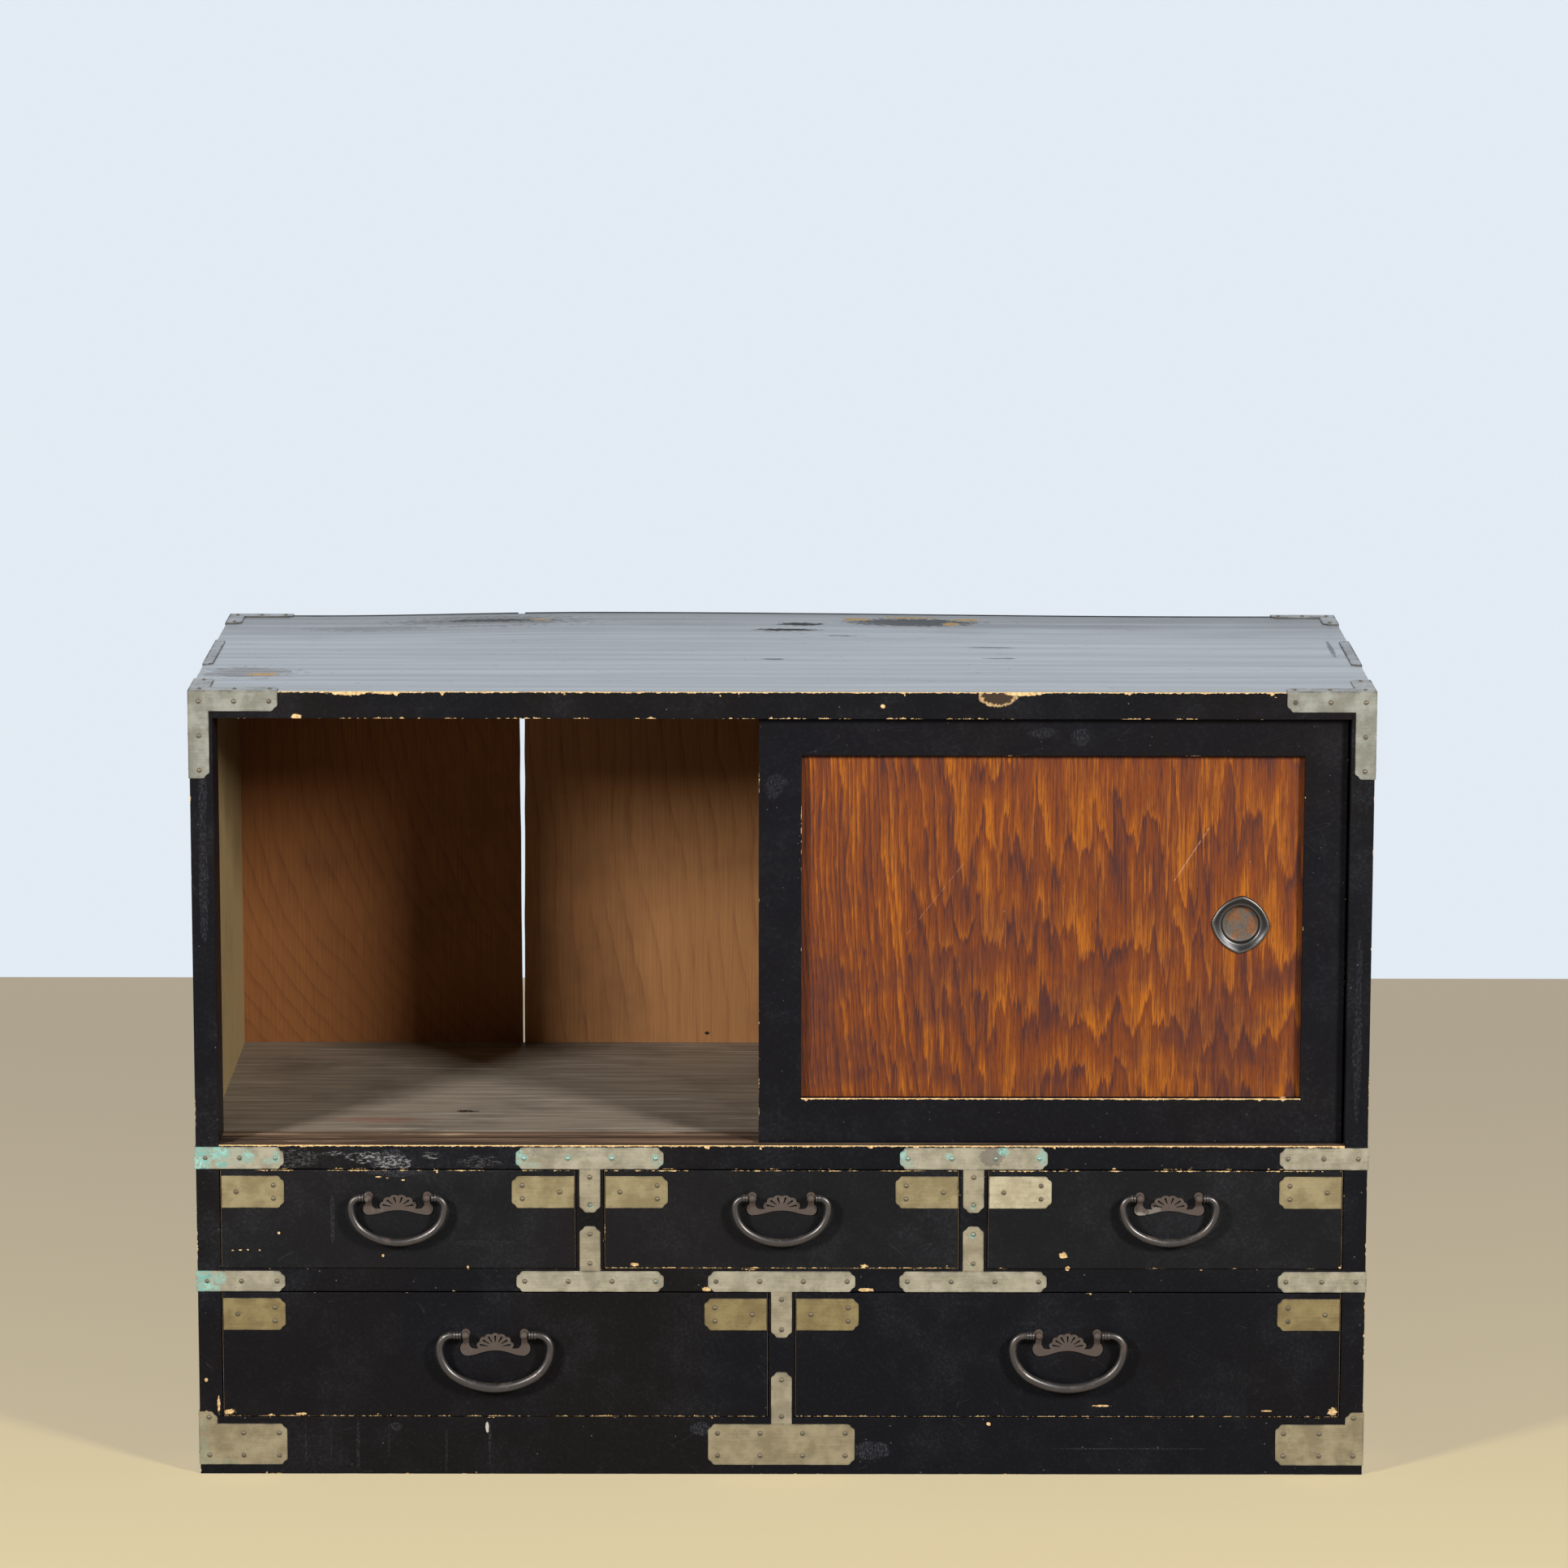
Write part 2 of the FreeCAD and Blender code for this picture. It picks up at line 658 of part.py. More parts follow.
def handle_plate(handle):
    """The openwork plate behind a bail, about the pivot's middle, flat on Y = 0."""
    wide, drop = handle_plate_half_width, handle.plate_drop

    def at(share, side=1):
        """A point of the bar, on the right or mirrored to the left."""
        return V(side * wide * share[0], 0, drop * share[1])

    edges = [Part.Arc(at(bar_turn_share, -1), at(bar_arch_share), at(bar_turn_share)).toShape()]
    for s in (1, -1):
        edges.append(Part.Arc(at(bar_turn_share, s), at(bar_sweep_share, s),
                              at(bar_low_share, s)).toShape())
        edges.append(Part.Arc(at(bar_low_share, s), at(bar_lobe_share, s),
                              at(bar_shoulder_share, s)).toShape())
        edges.append(Part.makeLine(at(bar_shoulder_share, s), at(bar_neck_share, s)))
        edges.append(Part.Arc(at(bar_neck_share, s), at(bar_throat_share, s),
                              at(bar_valley_share, s)).toShape())
    edges.append(Part.makeLine(at(bar_valley_share, 1), at(bar_valley_share, -1)))
    outward = V(0, -handle_plate_gauge, 0)
    pieces = [Part.Face(Part.Wire(Part.__sortEdges__(edges))).extrude(outward)]

    hub_z = -drop * fan_hub_share

    def rim(turn, share, spread=0.0):
        """A point of the fan at an angle in radians, at a share of its reach."""
        reach_x, reach_z = fan_half_width * share, handle.fan_height * share
        return V(reach_x * math.cos(turn) - spread * math.sin(turn), 0,
                 hub_z + reach_z * math.sin(turn) + spread * math.cos(turn))

    pitch = math.pi / handle.petals
    fan = [Part.Arc(rim(i * pitch, petal_valley_share), rim((i + 0.5) * pitch, petal_tip_share),
                    rim((i + 1) * pitch, petal_valley_share)).toShape()
           for i in range(handle.petals)]
    fan.append(Part.makeLine(rim(math.pi, petal_valley_share), rim(0, petal_valley_share)))
    pieces.append(Part.Face(Part.Wire(fan)).extrude(outward))
    root_half = fan_half_width * petal_valley_share
    pieces.append(box(-root_half, root_half, -handle_plate_gauge, 0,
                      -drop * fan_root_share, hub_z))

    stem_holes = []
    for s in (1, -1):
        x = s * eye_offset
        pieces.append(rod(V(x, 0, 0), V(0, -1, 0), ear_radius, handle_plate_gauge))
        pieces.append(box(x - ear_neck_width / 2, x + ear_neck_width / 2, -handle_plate_gauge, 0,
                          -drop / 2, 0))
        stem_holes.append(rod(V(x, drill_overrun, 0), V(0, -1, 0), post_radius + post_hole_gap,
                              handle_plate_gauge + 2 * drill_overrun))
    slots = []
    for i in range(handle.petals):
        turn = (i + 0.5) * pitch
        root, tip = slot_root_half_width, slot_tip_radius
        a, b = rim(turn, slot_root_share, root), rim(turn, slot_root_share, -root)
        c, d = rim(turn, slot_tip_share, -tip), rim(turn, slot_tip_share, tip)
        crown = rim(turn, slot_tip_share) + (rim(turn, 1) - rim(turn, 0)).normalize() * tip
        slot = Part.Wire([Part.makeLine(a, b), Part.makeLine(b, c), Part.Arc(c, crown, d).toShape(),
                          Part.makeLine(d, a)])
        slots.append(Part.Face(slot).extrude(outward))
    return joined(pieces).cut(stem_holes + slots)


def bail_half_path(handle):
    """Half of a bail's centre line, tip to middle, as pieces: (length, point and heading at s).

    A straight tip, a shoulder arc, a side arc and a bottom arc, each tangent to the next.
    """
    start = eye_offset + eye_radius + eye_side_gap
    shoulder_x = handle.bail_half_width - handle.shoulder_radius
    side_x = handle.bail_half_width - handle.side_radius
    below = handle.bail_drop - handle.shoulder_radius
    bottom_radius = ((side_x ** 2 + below ** 2 - handle.side_radius ** 2)
                     / (2 * (below - handle.side_radius)))
    bottom_z = bottom_radius - handle.bail_drop
    side_sweep = math.atan2(bottom_z + handle.shoulder_radius, side_x)
    arcs = (((shoulder_x, -handle.shoulder_radius), handle.shoulder_radius, math.pi / 2, math.pi / 2),
            ((side_x, -handle.shoulder_radius), handle.side_radius, 0, side_sweep),
            ((0, bottom_z), bottom_radius, -side_sweep, math.pi / 2 - side_sweep))
    pieces = [(shoulder_x - start, lambda s: ((start + s, 0), (1, 0)))]
    for (cx, cz), radius, first, sweep in arcs:
        def on_arc(s, cx=cx, cz=cz, radius=radius, first=first):
            """The point and heading at a length along a clockwise arc."""
            turn = first - s / radius
            return ((cx + radius * math.cos(turn), cz + radius * math.sin(turn)),
                    (math.sin(turn), -math.cos(turn)))
        pieces.append((radius * sweep, on_arc))
    return pieces


def bail_sections_along(handle):
    """Circles across a bail from one tip to the other, thicker towards the middle."""
    pieces = bail_half_path(handle)
    total = sum(length for length, _ in pieces)
    half = []
    for i in range(bail_sections + 1):
        s = total * i / bail_sections
        share = s / total
        for length, place in pieces:
            if s <= length or place is pieces[-1][1]:
                half.append((*place(s), share))
                break
            s -= length
    sections = []
    for side, stations in ((1, half), (-1, reversed(half[:-1]))):
        for (x, z), (hx, hz), share in stations:
            swell = math.sin(share * math.pi / 2) ** bail_swell_power
            radius = handle.tip_radius + (handle.middle_radius - handle.tip_radius) * swell
            heading = V(side * hx, 0, hz) * side
            across = V(0, 1, 0)
            circle = Part.Wire(Part.makeCircle(radius))
            circle.Placement = FreeCAD.Placement(
                V(side * x, 0, z), FreeCAD.Rotation(across, heading.cross(across), heading, "ZXY"))
            sections.append(circle)
    return sections


def make_bail(handle):
    """A bail hanging from its pivot line, with its end rings and pivot pins."""
    pieces = [Part.makeLoft(bail_sections_along(handle), True, False)]
    start = eye_offset + eye_radius + eye_side_gap
    for s in (1, -1):
        inward = V(-s, 0, 0)
        overlap = ring_length
        pieces.append(rod(V(s * (start + overlap), 0, 0), inward, pivot_pin_radius,
                          overlap + eye_side_gap + 2 * eye_radius))
        for i in range(handle.rings):
            pieces.append(rod(V(s * (start + i * ring_pitch), 0, 0), V(s, 0, 0),
                              handle.tip_radius + ring_rise, ring_length))
    return joined(pieces)


def eye_post(side):
    """A post with a ball end bored for the pivot pin, about the pivot line."""
    x = side * eye_offset
    length = handle_standoff + drawer_front_thickness + post_tail
    post = joined([Part.makeSphere(eye_radius, V(x, 0, 0)),
                   rod(V(x, 0, 0), V(0, 1, 0), post_radius, length)])
    return post.cut(rod(V(x - 2 * eye_radius, 0, 0), V(1, 0, 0), pivot_pin_radius + pivot_pin_gap,
                        4 * eye_radius))


def rove(side):
    """The washer that an eye post is clenched over behind the drawer front."""
    start = V(side * eye_offset, handle_standoff + drawer_front_thickness, 0)
    disc = rod(start, V(0, 1, 0), rove_radius, rove_thickness)
    return disc.cut(rod(start - V(0, drill_overrun, 0), V(0, 1, 0), post_radius + post_hole_gap,
                        rove_thickness + 2 * drill_overrun))


# Drawers

def make_drawer(name, x0, x1, z0, z1, handle, handle_shift=0):
    """A drawer in the opening x0..x1, z0..z1, with its mounts and handle, by node."""
    left, right = x0 + drawer_side_gap, x1 - drawer_side_gap
    foot, top = z0 + drawer_foot_gap, z1 - drawer_top_gap
    front_back = drawer_face_y + drawer_front_thickness
    housing_y = front_back - drawer_wall_housing
    end_y = back_board_y - drawer_rear_gap
    wall_foot, wall_top = foot + drawer_bottom_thickness, top - drawer_wall_drop
    wall = drawer_wall_thickness
    bottom = box(left, right, housing_y, end_y, foot, wall_foot)
    walls = [box(left, left + wall, housing_y, end_y, wall_foot, wall_top),
             box(right - wall, right, housing_y, end_y, wall_foot, wall_top),
             box(left + wall, right - wall, end_y - wall, end_y, wall_foot, wall_top)]

    nails = NailSet()
    plates = []
    plate_top = top - drawer_plate_top_margin
    plate_foot = plate_top - drawer_plate_height
    on_face = V(0, -1, 0)
    for edge, inwards in ((left + drawer_chamfer, 1), (right - drawer_chamfer, -1)):
        outline = notched(edge, edge + inwards * drawer_plate_length, plate_foot, plate_top, (1, 2))
        plates.append(sheet([V(x, drawer_face_y, z) for x, z in outline], on_face))
        inner_x = edge + inwards * (drawer_plate_length - drawer_nail_end_inset)
        outer_x = edge + inwards * drawer_nail_outer_inset
        middle = (plate_foot + plate_top) / 2
        for x, z in ((inner_x, plate_foot + nail_edge_inset), (inner_x, plate_top - nail_edge_inset),
                     (outer_x, middle)):
            nails.drive(V(x, drawer_face_y - plate_gauge, z), on_face)

    pivot = V((x0 + x1) / 2 + handle_shift, handle_axis_y, z0 + handle.pivot_above_foot)
    face_point = V(pivot.x, drawer_face_y, pivot.z)
    fittings = [eye_post(s) for s in (-1, 1)] + [rove(s) for s in (-1, 1)]
    for piece in fittings:
        piece.translate(pivot)
    plate = handle_plate(handle)
    plate.translate(face_point)
    bail = make_bail(handle)
    bail.translate(pivot)
    post_holes = [rod(V(pivot.x + s * eye_offset, drawer_face_y - drill_overrun, pivot.z), V(0, 1, 0),
                      post_radius + post_hole_gap, drawer_front_thickness + 2 * drill_overrun)
                  for s in (-1, 1)]
    front = chamfered_front(box(left, right, drawer_face_y, front_back, foot, top), drawer_chamfer)
    front = nails.drilled(front.cut([bottom, *walls[:2], *post_holes]))
    return {name + "_front": [front],
            name + "_walls": walls,
            name + "_bottom": [bottom],
            name + "_corner_plates": [nails.drilled(p) for p in plates] + nails.nails,
            name + "_handle_plate": [plate, *fittings],
            name + "_bail": [bail]}


def make_drawers():
    """The five drawers, each in the opening that the posts and dividers leave it."""
    uppers = upper_divider_xs()
    half_upper, half_lower = upper_divider_width / 2, lower_divider_width / 2
    upper_spans = (("upper_left", -inner_half_width, uppers[0] - half_upper, 0),
                   ("upper_middle", uppers[0] + half_upper, uppers[1] - half_upper, 0),
                   ("upper_right", uppers[1] + half_upper, inner_half_width,
                    upper_right_handle_shift))
    lower_spans = (("lower_left", -inner_half_width, -half_lower),
                   ("lower_right", half_lower, inner_half_width))
    nodes = {}
    for name, x0, x1, shift in upper_spans:
        nodes.update(make_drawer(name, x0, x1, upper_row_z, sill_z, small_handle, shift))
    for name, x0, x1 in lower_spans:
        nodes.update(make_drawer(name, x0, x1, lower_row_z, drawer_rail_z, large_handle))
    return nodes


def main():
    """Builds every node and writes its file."""
    os.makedirs("parts", exist_ok=True)
    nails = NailSet()
    mounts = make_case_mounts(nails)
    for node, solids in {**make_case(), **mounts}.items():
        save(node, [nails.drilled(solid) for solid in solids])
    save("carcass_nails", nails.nails)
    front_face = front_y + front_lip + tongue_side_gap
    door_left = -stile_width / 2 - door_end_gap
    doors = (("front", front_face, True), ("rear", front_face + groove_pitch, False))
    for side, y_face, pull_on_right in doors:
        for node, solids in make_door(side, y_face, door_left, pull_on_right).items():
            save(node, solids)
    for node, solids in make_drawers().items():
        save(node, solids)


main()
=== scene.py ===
"""Looks of a lacquered clothing chest: worn black boards, figured doors, sheet metal mounts and iron bails.

The front faces -Y, +X is to the right and +Z is up. Scene lengths are metres; sizes named in this file are
millimetres and are turned into metres by MM where they meet a mesh or a shader.
"""

import json
import logging
import math
from abc import ABC, abstractmethod
from dataclasses import dataclass, field
from enum import Enum

import bmesh
import bpy
import numpy as np
from mathutils import Matrix, Vector
from mathutils.kdtree import KDTree

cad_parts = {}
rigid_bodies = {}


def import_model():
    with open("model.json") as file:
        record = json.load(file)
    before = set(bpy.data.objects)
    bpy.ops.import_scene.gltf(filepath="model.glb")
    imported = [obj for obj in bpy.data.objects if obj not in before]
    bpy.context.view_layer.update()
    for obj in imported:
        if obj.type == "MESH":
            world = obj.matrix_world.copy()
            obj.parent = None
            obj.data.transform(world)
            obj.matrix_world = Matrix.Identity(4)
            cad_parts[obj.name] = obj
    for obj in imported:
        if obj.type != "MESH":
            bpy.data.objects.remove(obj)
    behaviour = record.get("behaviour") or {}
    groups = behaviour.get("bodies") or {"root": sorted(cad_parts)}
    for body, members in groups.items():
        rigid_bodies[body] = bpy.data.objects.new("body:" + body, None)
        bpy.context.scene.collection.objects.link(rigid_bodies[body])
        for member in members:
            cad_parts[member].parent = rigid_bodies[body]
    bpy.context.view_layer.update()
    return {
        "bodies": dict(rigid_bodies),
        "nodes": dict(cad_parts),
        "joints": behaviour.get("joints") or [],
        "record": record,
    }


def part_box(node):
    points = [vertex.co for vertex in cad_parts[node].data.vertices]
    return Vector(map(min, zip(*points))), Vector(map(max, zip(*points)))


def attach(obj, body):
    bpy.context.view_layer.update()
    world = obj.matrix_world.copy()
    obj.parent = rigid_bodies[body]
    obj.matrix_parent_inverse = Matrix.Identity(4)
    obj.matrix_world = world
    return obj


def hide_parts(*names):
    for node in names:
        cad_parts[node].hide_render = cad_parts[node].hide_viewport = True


MM = 0.001
LOG = logging.getLogger("chest")
FRONT_FACE = -186.0
PLATE_FACE = -186.8
DOOR_FACE = -176.0
TOP_FACE = 621.0
TOP_MOUNTS_FROM = 615.0
FAR_EDGE = 99.0
CHEST_MIDDLE = Vector((0.0, 0.0, 0.31))

Colour = tuple[float, float, float]
Triple = tuple[float, float, float]
Socket = bpy.types.NodeSocket
Piece = bpy.types.Object


class Side(Enum):
    """The six sides of a board, as (axis, end)."""

    LEFT = (0, 0)
    RIGHT = (0, 1)
    FRONT = (1, 0)
    BACK = (1, 1)
    BOTTOM = (2, 0)
    TOP = (2, 1)


class Slot(Enum):
    """The record's material slots."""

    LACQUER = "black_lacquer"
    BARE_WOOD = "bare_wood"
    PANEL = "figured_panel"
    NICKEL = "nickel_silver"
    BRASS = "pale_brass"
    NAIL = "nail_metal"
    IRON = "dark_iron"


# Numbers that stand for a surface


def lattice_noise(points: np.ndarray, cell: Triple, seed: int) -> np.ndarray:
    """Smooth value noise: random numbers on a lattice, blended with a smoothstep between its corners.

    Args:
        points: places, n by 3, in millimetres.
        cell: size of a lattice cell along each axis, in millimetres.
        seed: picks the table of random numbers.

    Returns:
        One number from 0 to 1 for each place.
    """
    table = np.random.default_rng(seed).random(4096)
    scaled = points / np.asarray(cell)
    base = np.floor(scaled).astype(np.int64)
    part = scaled - base
    part = part * part * (3.0 - 2.0 * part)
    total = np.zeros(len(points))
    for corner in range(8):
        step = np.array([corner & 1, corner >> 1 & 1, corner >> 2 & 1])
        at = base + step
        key = (at[:, 0] * 73856093 ^ at[:, 1] * 19349663 ^ at[:, 2] * 83492791) & 4095
        weight = np.prod(np.where(step == 1, part, 1.0 - part), axis=1)
        total += table[key] * weight
    return total


def smoothstep(low: float, high: float, value: np.ndarray) -> np.ndarray:
    """Rises from 0 at low to 1 at high along a cubic."""
    share = np.clip((value - low) / (high - low), 0.0, 1.0)
    return share * share * (3.0 - 2.0 * share)


RIM_OFFSETS = np.array([0.0, 0.35, 0.8, 1.4, 2.2, 3.4])


def stations(low: float, high: float, step: float) -> np.ndarray:
    """Coordinates from low to high: close together near both ends, then about a step apart.

    Args:
        low: first coordinate, in millimetres.
        high: last coordinate.
        step: spacing away from the ends.

    Returns:
        The coordinates in rising order.
    """
    rim = RIM_OFFSETS[RIM_OFFSETS < (high - low) * 0.3]
    first, last = low + rim[-1], high - rim[-1]
    count = max(1, round((last - first) / step))
    middle = np.linspace(first, last, count + 1)[1:-1]
    return np.concatenate([low + rim, middle, (high - rim)[::-1]])


def tree_of(samples: np.ndarray) -> KDTree:
    """A search tree over points."""
    tree = KDTree(len(samples))
    for number, spot in enumerate(samples):
        tree.insert(spot, number)
    tree.balance()
    return tree


def loose_parts(mesh: bpy.types.Mesh) -> list[np.ndarray]:
    """Corner points of each loose part of a mesh of triangles, in millimetres.

    Corners at one place count as one. Each corner takes the lowest number among its neighbours, over and
    over, until the corners of a part all have the same number.
    """
    spots = np.empty(len(mesh.vertices) * 3)
    mesh.vertices.foreach_get("co", spots)
    loops = np.empty(len(mesh.loops), np.int32)
    mesh.loops.foreach_get("vertex_index", loops)
    keys, label = np.unique(np.round(spots.reshape(-1, 3) / MM, 3), axis=0, return_inverse=True)
    corners = label.reshape(-1)[loops].reshape(-1, 3)
    own = np.arange(len(keys))
    while True:
        low = own[corners].min(1)
        fresh = own.copy()
        for side in range(3):
            np.minimum.at(fresh, corners[:, side], low)
        fresh = fresh[fresh]
        if (fresh == own).all():
            break
        own = fresh
    order = np.argsort(own, kind="stable")
    starts = np.flatnonzero(np.diff(own[order])) + 1
    return np.split(keys[order], starts)


def head_base(spots: np.ndarray) -> np.ndarray:
    """Middle of a nail's widest ring, where its head sits on the metal."""
    axis = int(np.ptp(spots, axis=0).argmax())
    cross = [a for a in range(3) if a != axis]
    middle = (spots.max(0) + spots.min(0)) / 2
    away = np.linalg.norm(spots[:, cross] - middle[cross], axis=1)
    return spots[away > away.max() * 0.97].mean(0)


@dataclass
class Shell:
    """A surface as arrays: points in millimetres, faces, vertices' values and faces' finish numbers."""

    points: np.ndarray
    faces: list[list[int]]
    values: dict[str, np.ndarray] = field(default_factory=dict)
    finish: np.ndarray | None = None

    @staticmethod
    def joined(shells: list["Shell"]) -> "Shell":
        """Several shells as one; a value that one of them lacks is 0 there."""
        names = sorted({name for shell in shells for name in shell.values})
        faces: list[list[int]] = []
        start = 0
        for shell in shells:
            faces.extend([[i + start for i in face] for face in shell.faces])
            start += len(shell.points)
        values = {name: np.concatenate([shell.values.get(name, np.zeros(len(shell.points)))
                                        for shell in shells]) for name in names}
        finish = np.concatenate([np.zeros(len(shell.faces), int) if shell.finish is None else shell.finish
                                 for shell in shells])
        return Shell(np.concatenate([shell.points for shell in shells]), faces, values, finish)

    def as_object(self, name: str, finishes: "list[Finish]") -> Piece:
        """Puts the arrays into a smooth shaded mesh object at the origin.

        Args:
            name: the piece's name.
            finishes: one for each finish number.

        Returns:
            The object, linked to the scene.
        """
        mesh = bpy.data.meshes.new(name)
        mesh.from_pydata((self.points * MM).tolist(), [], self.faces)
        for key, numbers in self.values.items():
            layer = mesh.attributes.new(key, "FLOAT", "POINT")
            layer.data.foreach_set("value", numbers.astype(np.float32))
        for finish in finishes:
            mesh.materials.append(finish.material())
        if self.finish is not None:
            mesh.polygons.foreach_set("material_index", self.finish.astype(np.int32))
        mesh.polygons.foreach_set("use_smooth", np.ones(len(mesh.polygons), bool))
        mesh.update()
        return linked(name, mesh)


def linked(name: str, data: bpy.types.ID) -> Piece:
    """A new object in the scene."""
    made = bpy.data.objects.new(name, data)
    bpy.context.scene.collection.objects.link(made)
    return made


def ring_quads(number: np.ndarray) -> np.ndarray:
    """Quads between closed rings of points that are numbered ring by ring."""
    ahead = np.roll(number, -1, axis=1)
    return np.stack([number[:-1], ahead[:-1], ahead[1:], number[1:]], axis=-1).reshape(-1, 4)


def tensor_box(xs: np.ndarray, ys: np.ndarray, zs: np.ndarray) -> tuple[np.ndarray, np.ndarray, np.ndarray]:
    """A closed box whose six sides are grids over three lists of coordinates and share their rims.

    Args:
        xs: coordinates along X.
        ys: coordinates along Y.
        zs: coordinates along Z.

    Returns:
        Points, outward quads, and for each quad its side's number, which is twice the axis plus the end.
    """
    counts = (len(xs), len(ys), len(zs))
    grid = np.stack(np.meshgrid(xs, ys, zs, indexing="ij"), axis=-1)
    outer = np.zeros(counts, bool)
    for axis in range(3):
        for end in (0, -1):
            np.moveaxis(outer, axis, 0)[end] = True
    number = np.full(counts, -1)
    number[outer] = np.arange(outer.sum())
    quads, sides = [], []
    for axis in range(3):
        for end in (0, 1):
            layer = np.moveaxis(number, axis, 0)[-end]
            cells = np.stack([layer[:-1, :-1], layer[1:, :-1], layer[1:, 1:], layer[:-1, 1:]], axis=-1)
            cells = cells.reshape(-1, 4)
            if (axis == 1) == bool(end):
                cells = cells[:, ::-1]
            quads.append(cells)
            sides.append(np.full(len(cells), 2 * axis + end))
    return grid[outer], np.concatenate(quads), np.concatenate(sides)


# Shader graphs


class Graph:
    """Builds a node tree, one call for each node."""

    def __init__(self, tree: bpy.types.NodeTree) -> None:
        """Takes the tree that the nodes go into."""
        self.tree = tree

    def feed(self, socket: Socket, value: object) -> None:
        """Links another node's output into a socket, or sets the socket's own value."""
        if isinstance(value, Socket):
            self.tree.links.new(value, socket)
        elif socket.type == "RGBA" and len(value) == 3:
            socket.default_value = (*value, 1.0)
        else:
            socket.default_value = value

    def feed_all(self, node: bpy.types.Node, feeds: dict) -> None:
        """Feeds several inputs of a node, by name or number."""
        for key, value in feeds.items():
            self.feed(node.inputs[key], value)

    def node(self, kind: str, feeds: dict | None = None, **settings: object) -> bpy.types.Node:
        """Adds a node, sets its options and feeds its inputs by name or number."""
        made = self.tree.nodes.new("ShaderNode" + kind)
        for name, value in settings.items():
            setattr(made, name, value)
        self.feed_all(made, feeds or {})
        return made

    def math(self, operation: str, *terms: object) -> Socket:
        """One step of arithmetic on numbers."""
        return self.node("Math", dict(enumerate(terms)), operation=operation).outputs[0]

    def add(self, a: object, b: object) -> Socket:
        """The sum of two numbers."""
        return self.math("ADD", a, b)

    def times(self, a: object, b: object) -> Socket:
        """The product of two numbers."""
        return self.math("MULTIPLY", a, b)

    def less(self, a: object, b: object) -> Socket:
        """The first number less the second."""
        return self.math("SUBTRACT", a, b)

    def most(self, masks: list) -> Socket:
        """The highest of several masks."""
        top = masks[0]
        for mask in masks[1:]:
            top = self.math("MAXIMUM", top, mask)
        return top

    def ramp(self, value: object, low: object, high: object, first: object = 0.0,
             last: object = 1.0) -> Socket:
        """Carries a value from low..high to first..last along a smoothstep."""
        feeds = {0: value, 1: low, 2: high, 3: first, 4: last}
        return self.node("MapRange", feeds, interpolation_type="SMOOTHSTEP").outputs[0]

    def vector(self, operation: str, *terms: object, out: int = 0) -> Socket:
        """One step of arithmetic on vectors."""
        return self.node("VectorMath", dict(enumerate(terms)), operation=operation).outputs[out]

    def parts(self, place: object) -> list[Socket]:
        """A vector's three numbers."""
        return list(self.node("SeparateXYZ", {0: place}).outputs)

    def bundle(self, x: object, y: object, z: object) -> Socket:
        """A vector from three numbers."""
        return self.node("CombineXYZ", {0: x, 1: y, 2: z}).outputs[0]

    def scaled(self, place: object, size: float | Triple, shift: float = 0.0) -> Socket:
        """A place in metres counted in cells of a size in millimetres, moved by a shift in cells."""
        cell = size if isinstance(size, tuple) else (size, size, size)
        factor = tuple(1.0 / (MM * c) for c in cell)
        return self.vector("MULTIPLY_ADD", place, factor, (shift, shift * 1.7, shift * 0.6))

    def noise(self, place: object, size: float | Triple, detail: float = 2.0, rough: float = 0.5,
              shift: float = 0.0) -> Socket:
        """Noise whose blobs are about so many millimetres across."""
        feeds = {"Vector": self.scaled(place, size, shift), "Scale": 1.0, "Detail": detail,
                 "Roughness": rough}
        return self.node("TexNoise", feeds).outputs[0]

    def mix(self, share: object, under: object, over: object) -> Socket:
        """One colour over another by a share."""
        return self.node("Mix", {0: share, 6: under, 7: over}, data_type="RGBA").outputs[2]

    def between(self, share: object, first: object, last: object) -> Socket:
        """A number between two others by a share."""
        return self.node("Mix", {0: share, 2: first, 3: last}, data_type="FLOAT").outputs[0]

    def value_of(self, name: str) -> Socket:
        """A number that the piece's vertices carry."""
        return self.node("Attribute", attribute_name=name, attribute_type="GEOMETRY").outputs["Fac"]

    def bump(self, height: object, strength: float) -> Socket:
        """A normal from a height in millimetres."""
        return self.node("Bump", {"Strength": strength, "Distance": MM, "Height": height}).outputs[0]


def fresh_graph(owner: bpy.types.Material | bpy.types.World) -> Graph:
    """The emptied node tree of a material or a world."""
    owner.use_nodes = True
    owner.node_tree.nodes.clear()
    return Graph(owner.node_tree)


class Effect(ABC):
    """A shader effect that several finishes share, kept as one node group."""

    title: str
    takes: dict[str, str]
    gives: dict[str, str]

    @abstractmethod
    def wire(self, graph: Graph, given: dict) -> dict:
        """Builds the inside of the group and returns its outputs by name."""

    def tree(self) -> bpy.types.NodeTree:
        """The node group, made on first use."""
        found = bpy.data.node_groups.get(self.title)
        if found:
            return found
        made = bpy.data.node_groups.new(self.title, "ShaderNodeTree")
        for name, kind in self.takes.items():
            made.interface.new_socket(name=name, in_out="INPUT", socket_type="NodeSocket" + kind)
        for name, kind in self.gives.items():
            made.interface.new_socket(name=name, in_out="OUTPUT", socket_type="NodeSocket" + kind)
        graph = Graph(made)
        source = made.nodes.new("NodeGroupInput")
        target = made.nodes.new("NodeGroupOutput")
        given = {name: source.outputs[name] for name in self.takes}
        for name, socket in self.wire(graph, given).items():
            made.links.new(socket, target.inputs[name])
        return made

    def on(self, graph: Graph, **feeds: object) -> dict[str, Socket]:
        """Adds the group to a graph, feeds its inputs and returns its outputs by name."""
        made = graph.tree.nodes.new("ShaderNodeGroup")
        made.node_tree = self.tree()
        graph.feed_all(made, feeds)
        return {name: made.outputs[name] for name in self.gives}


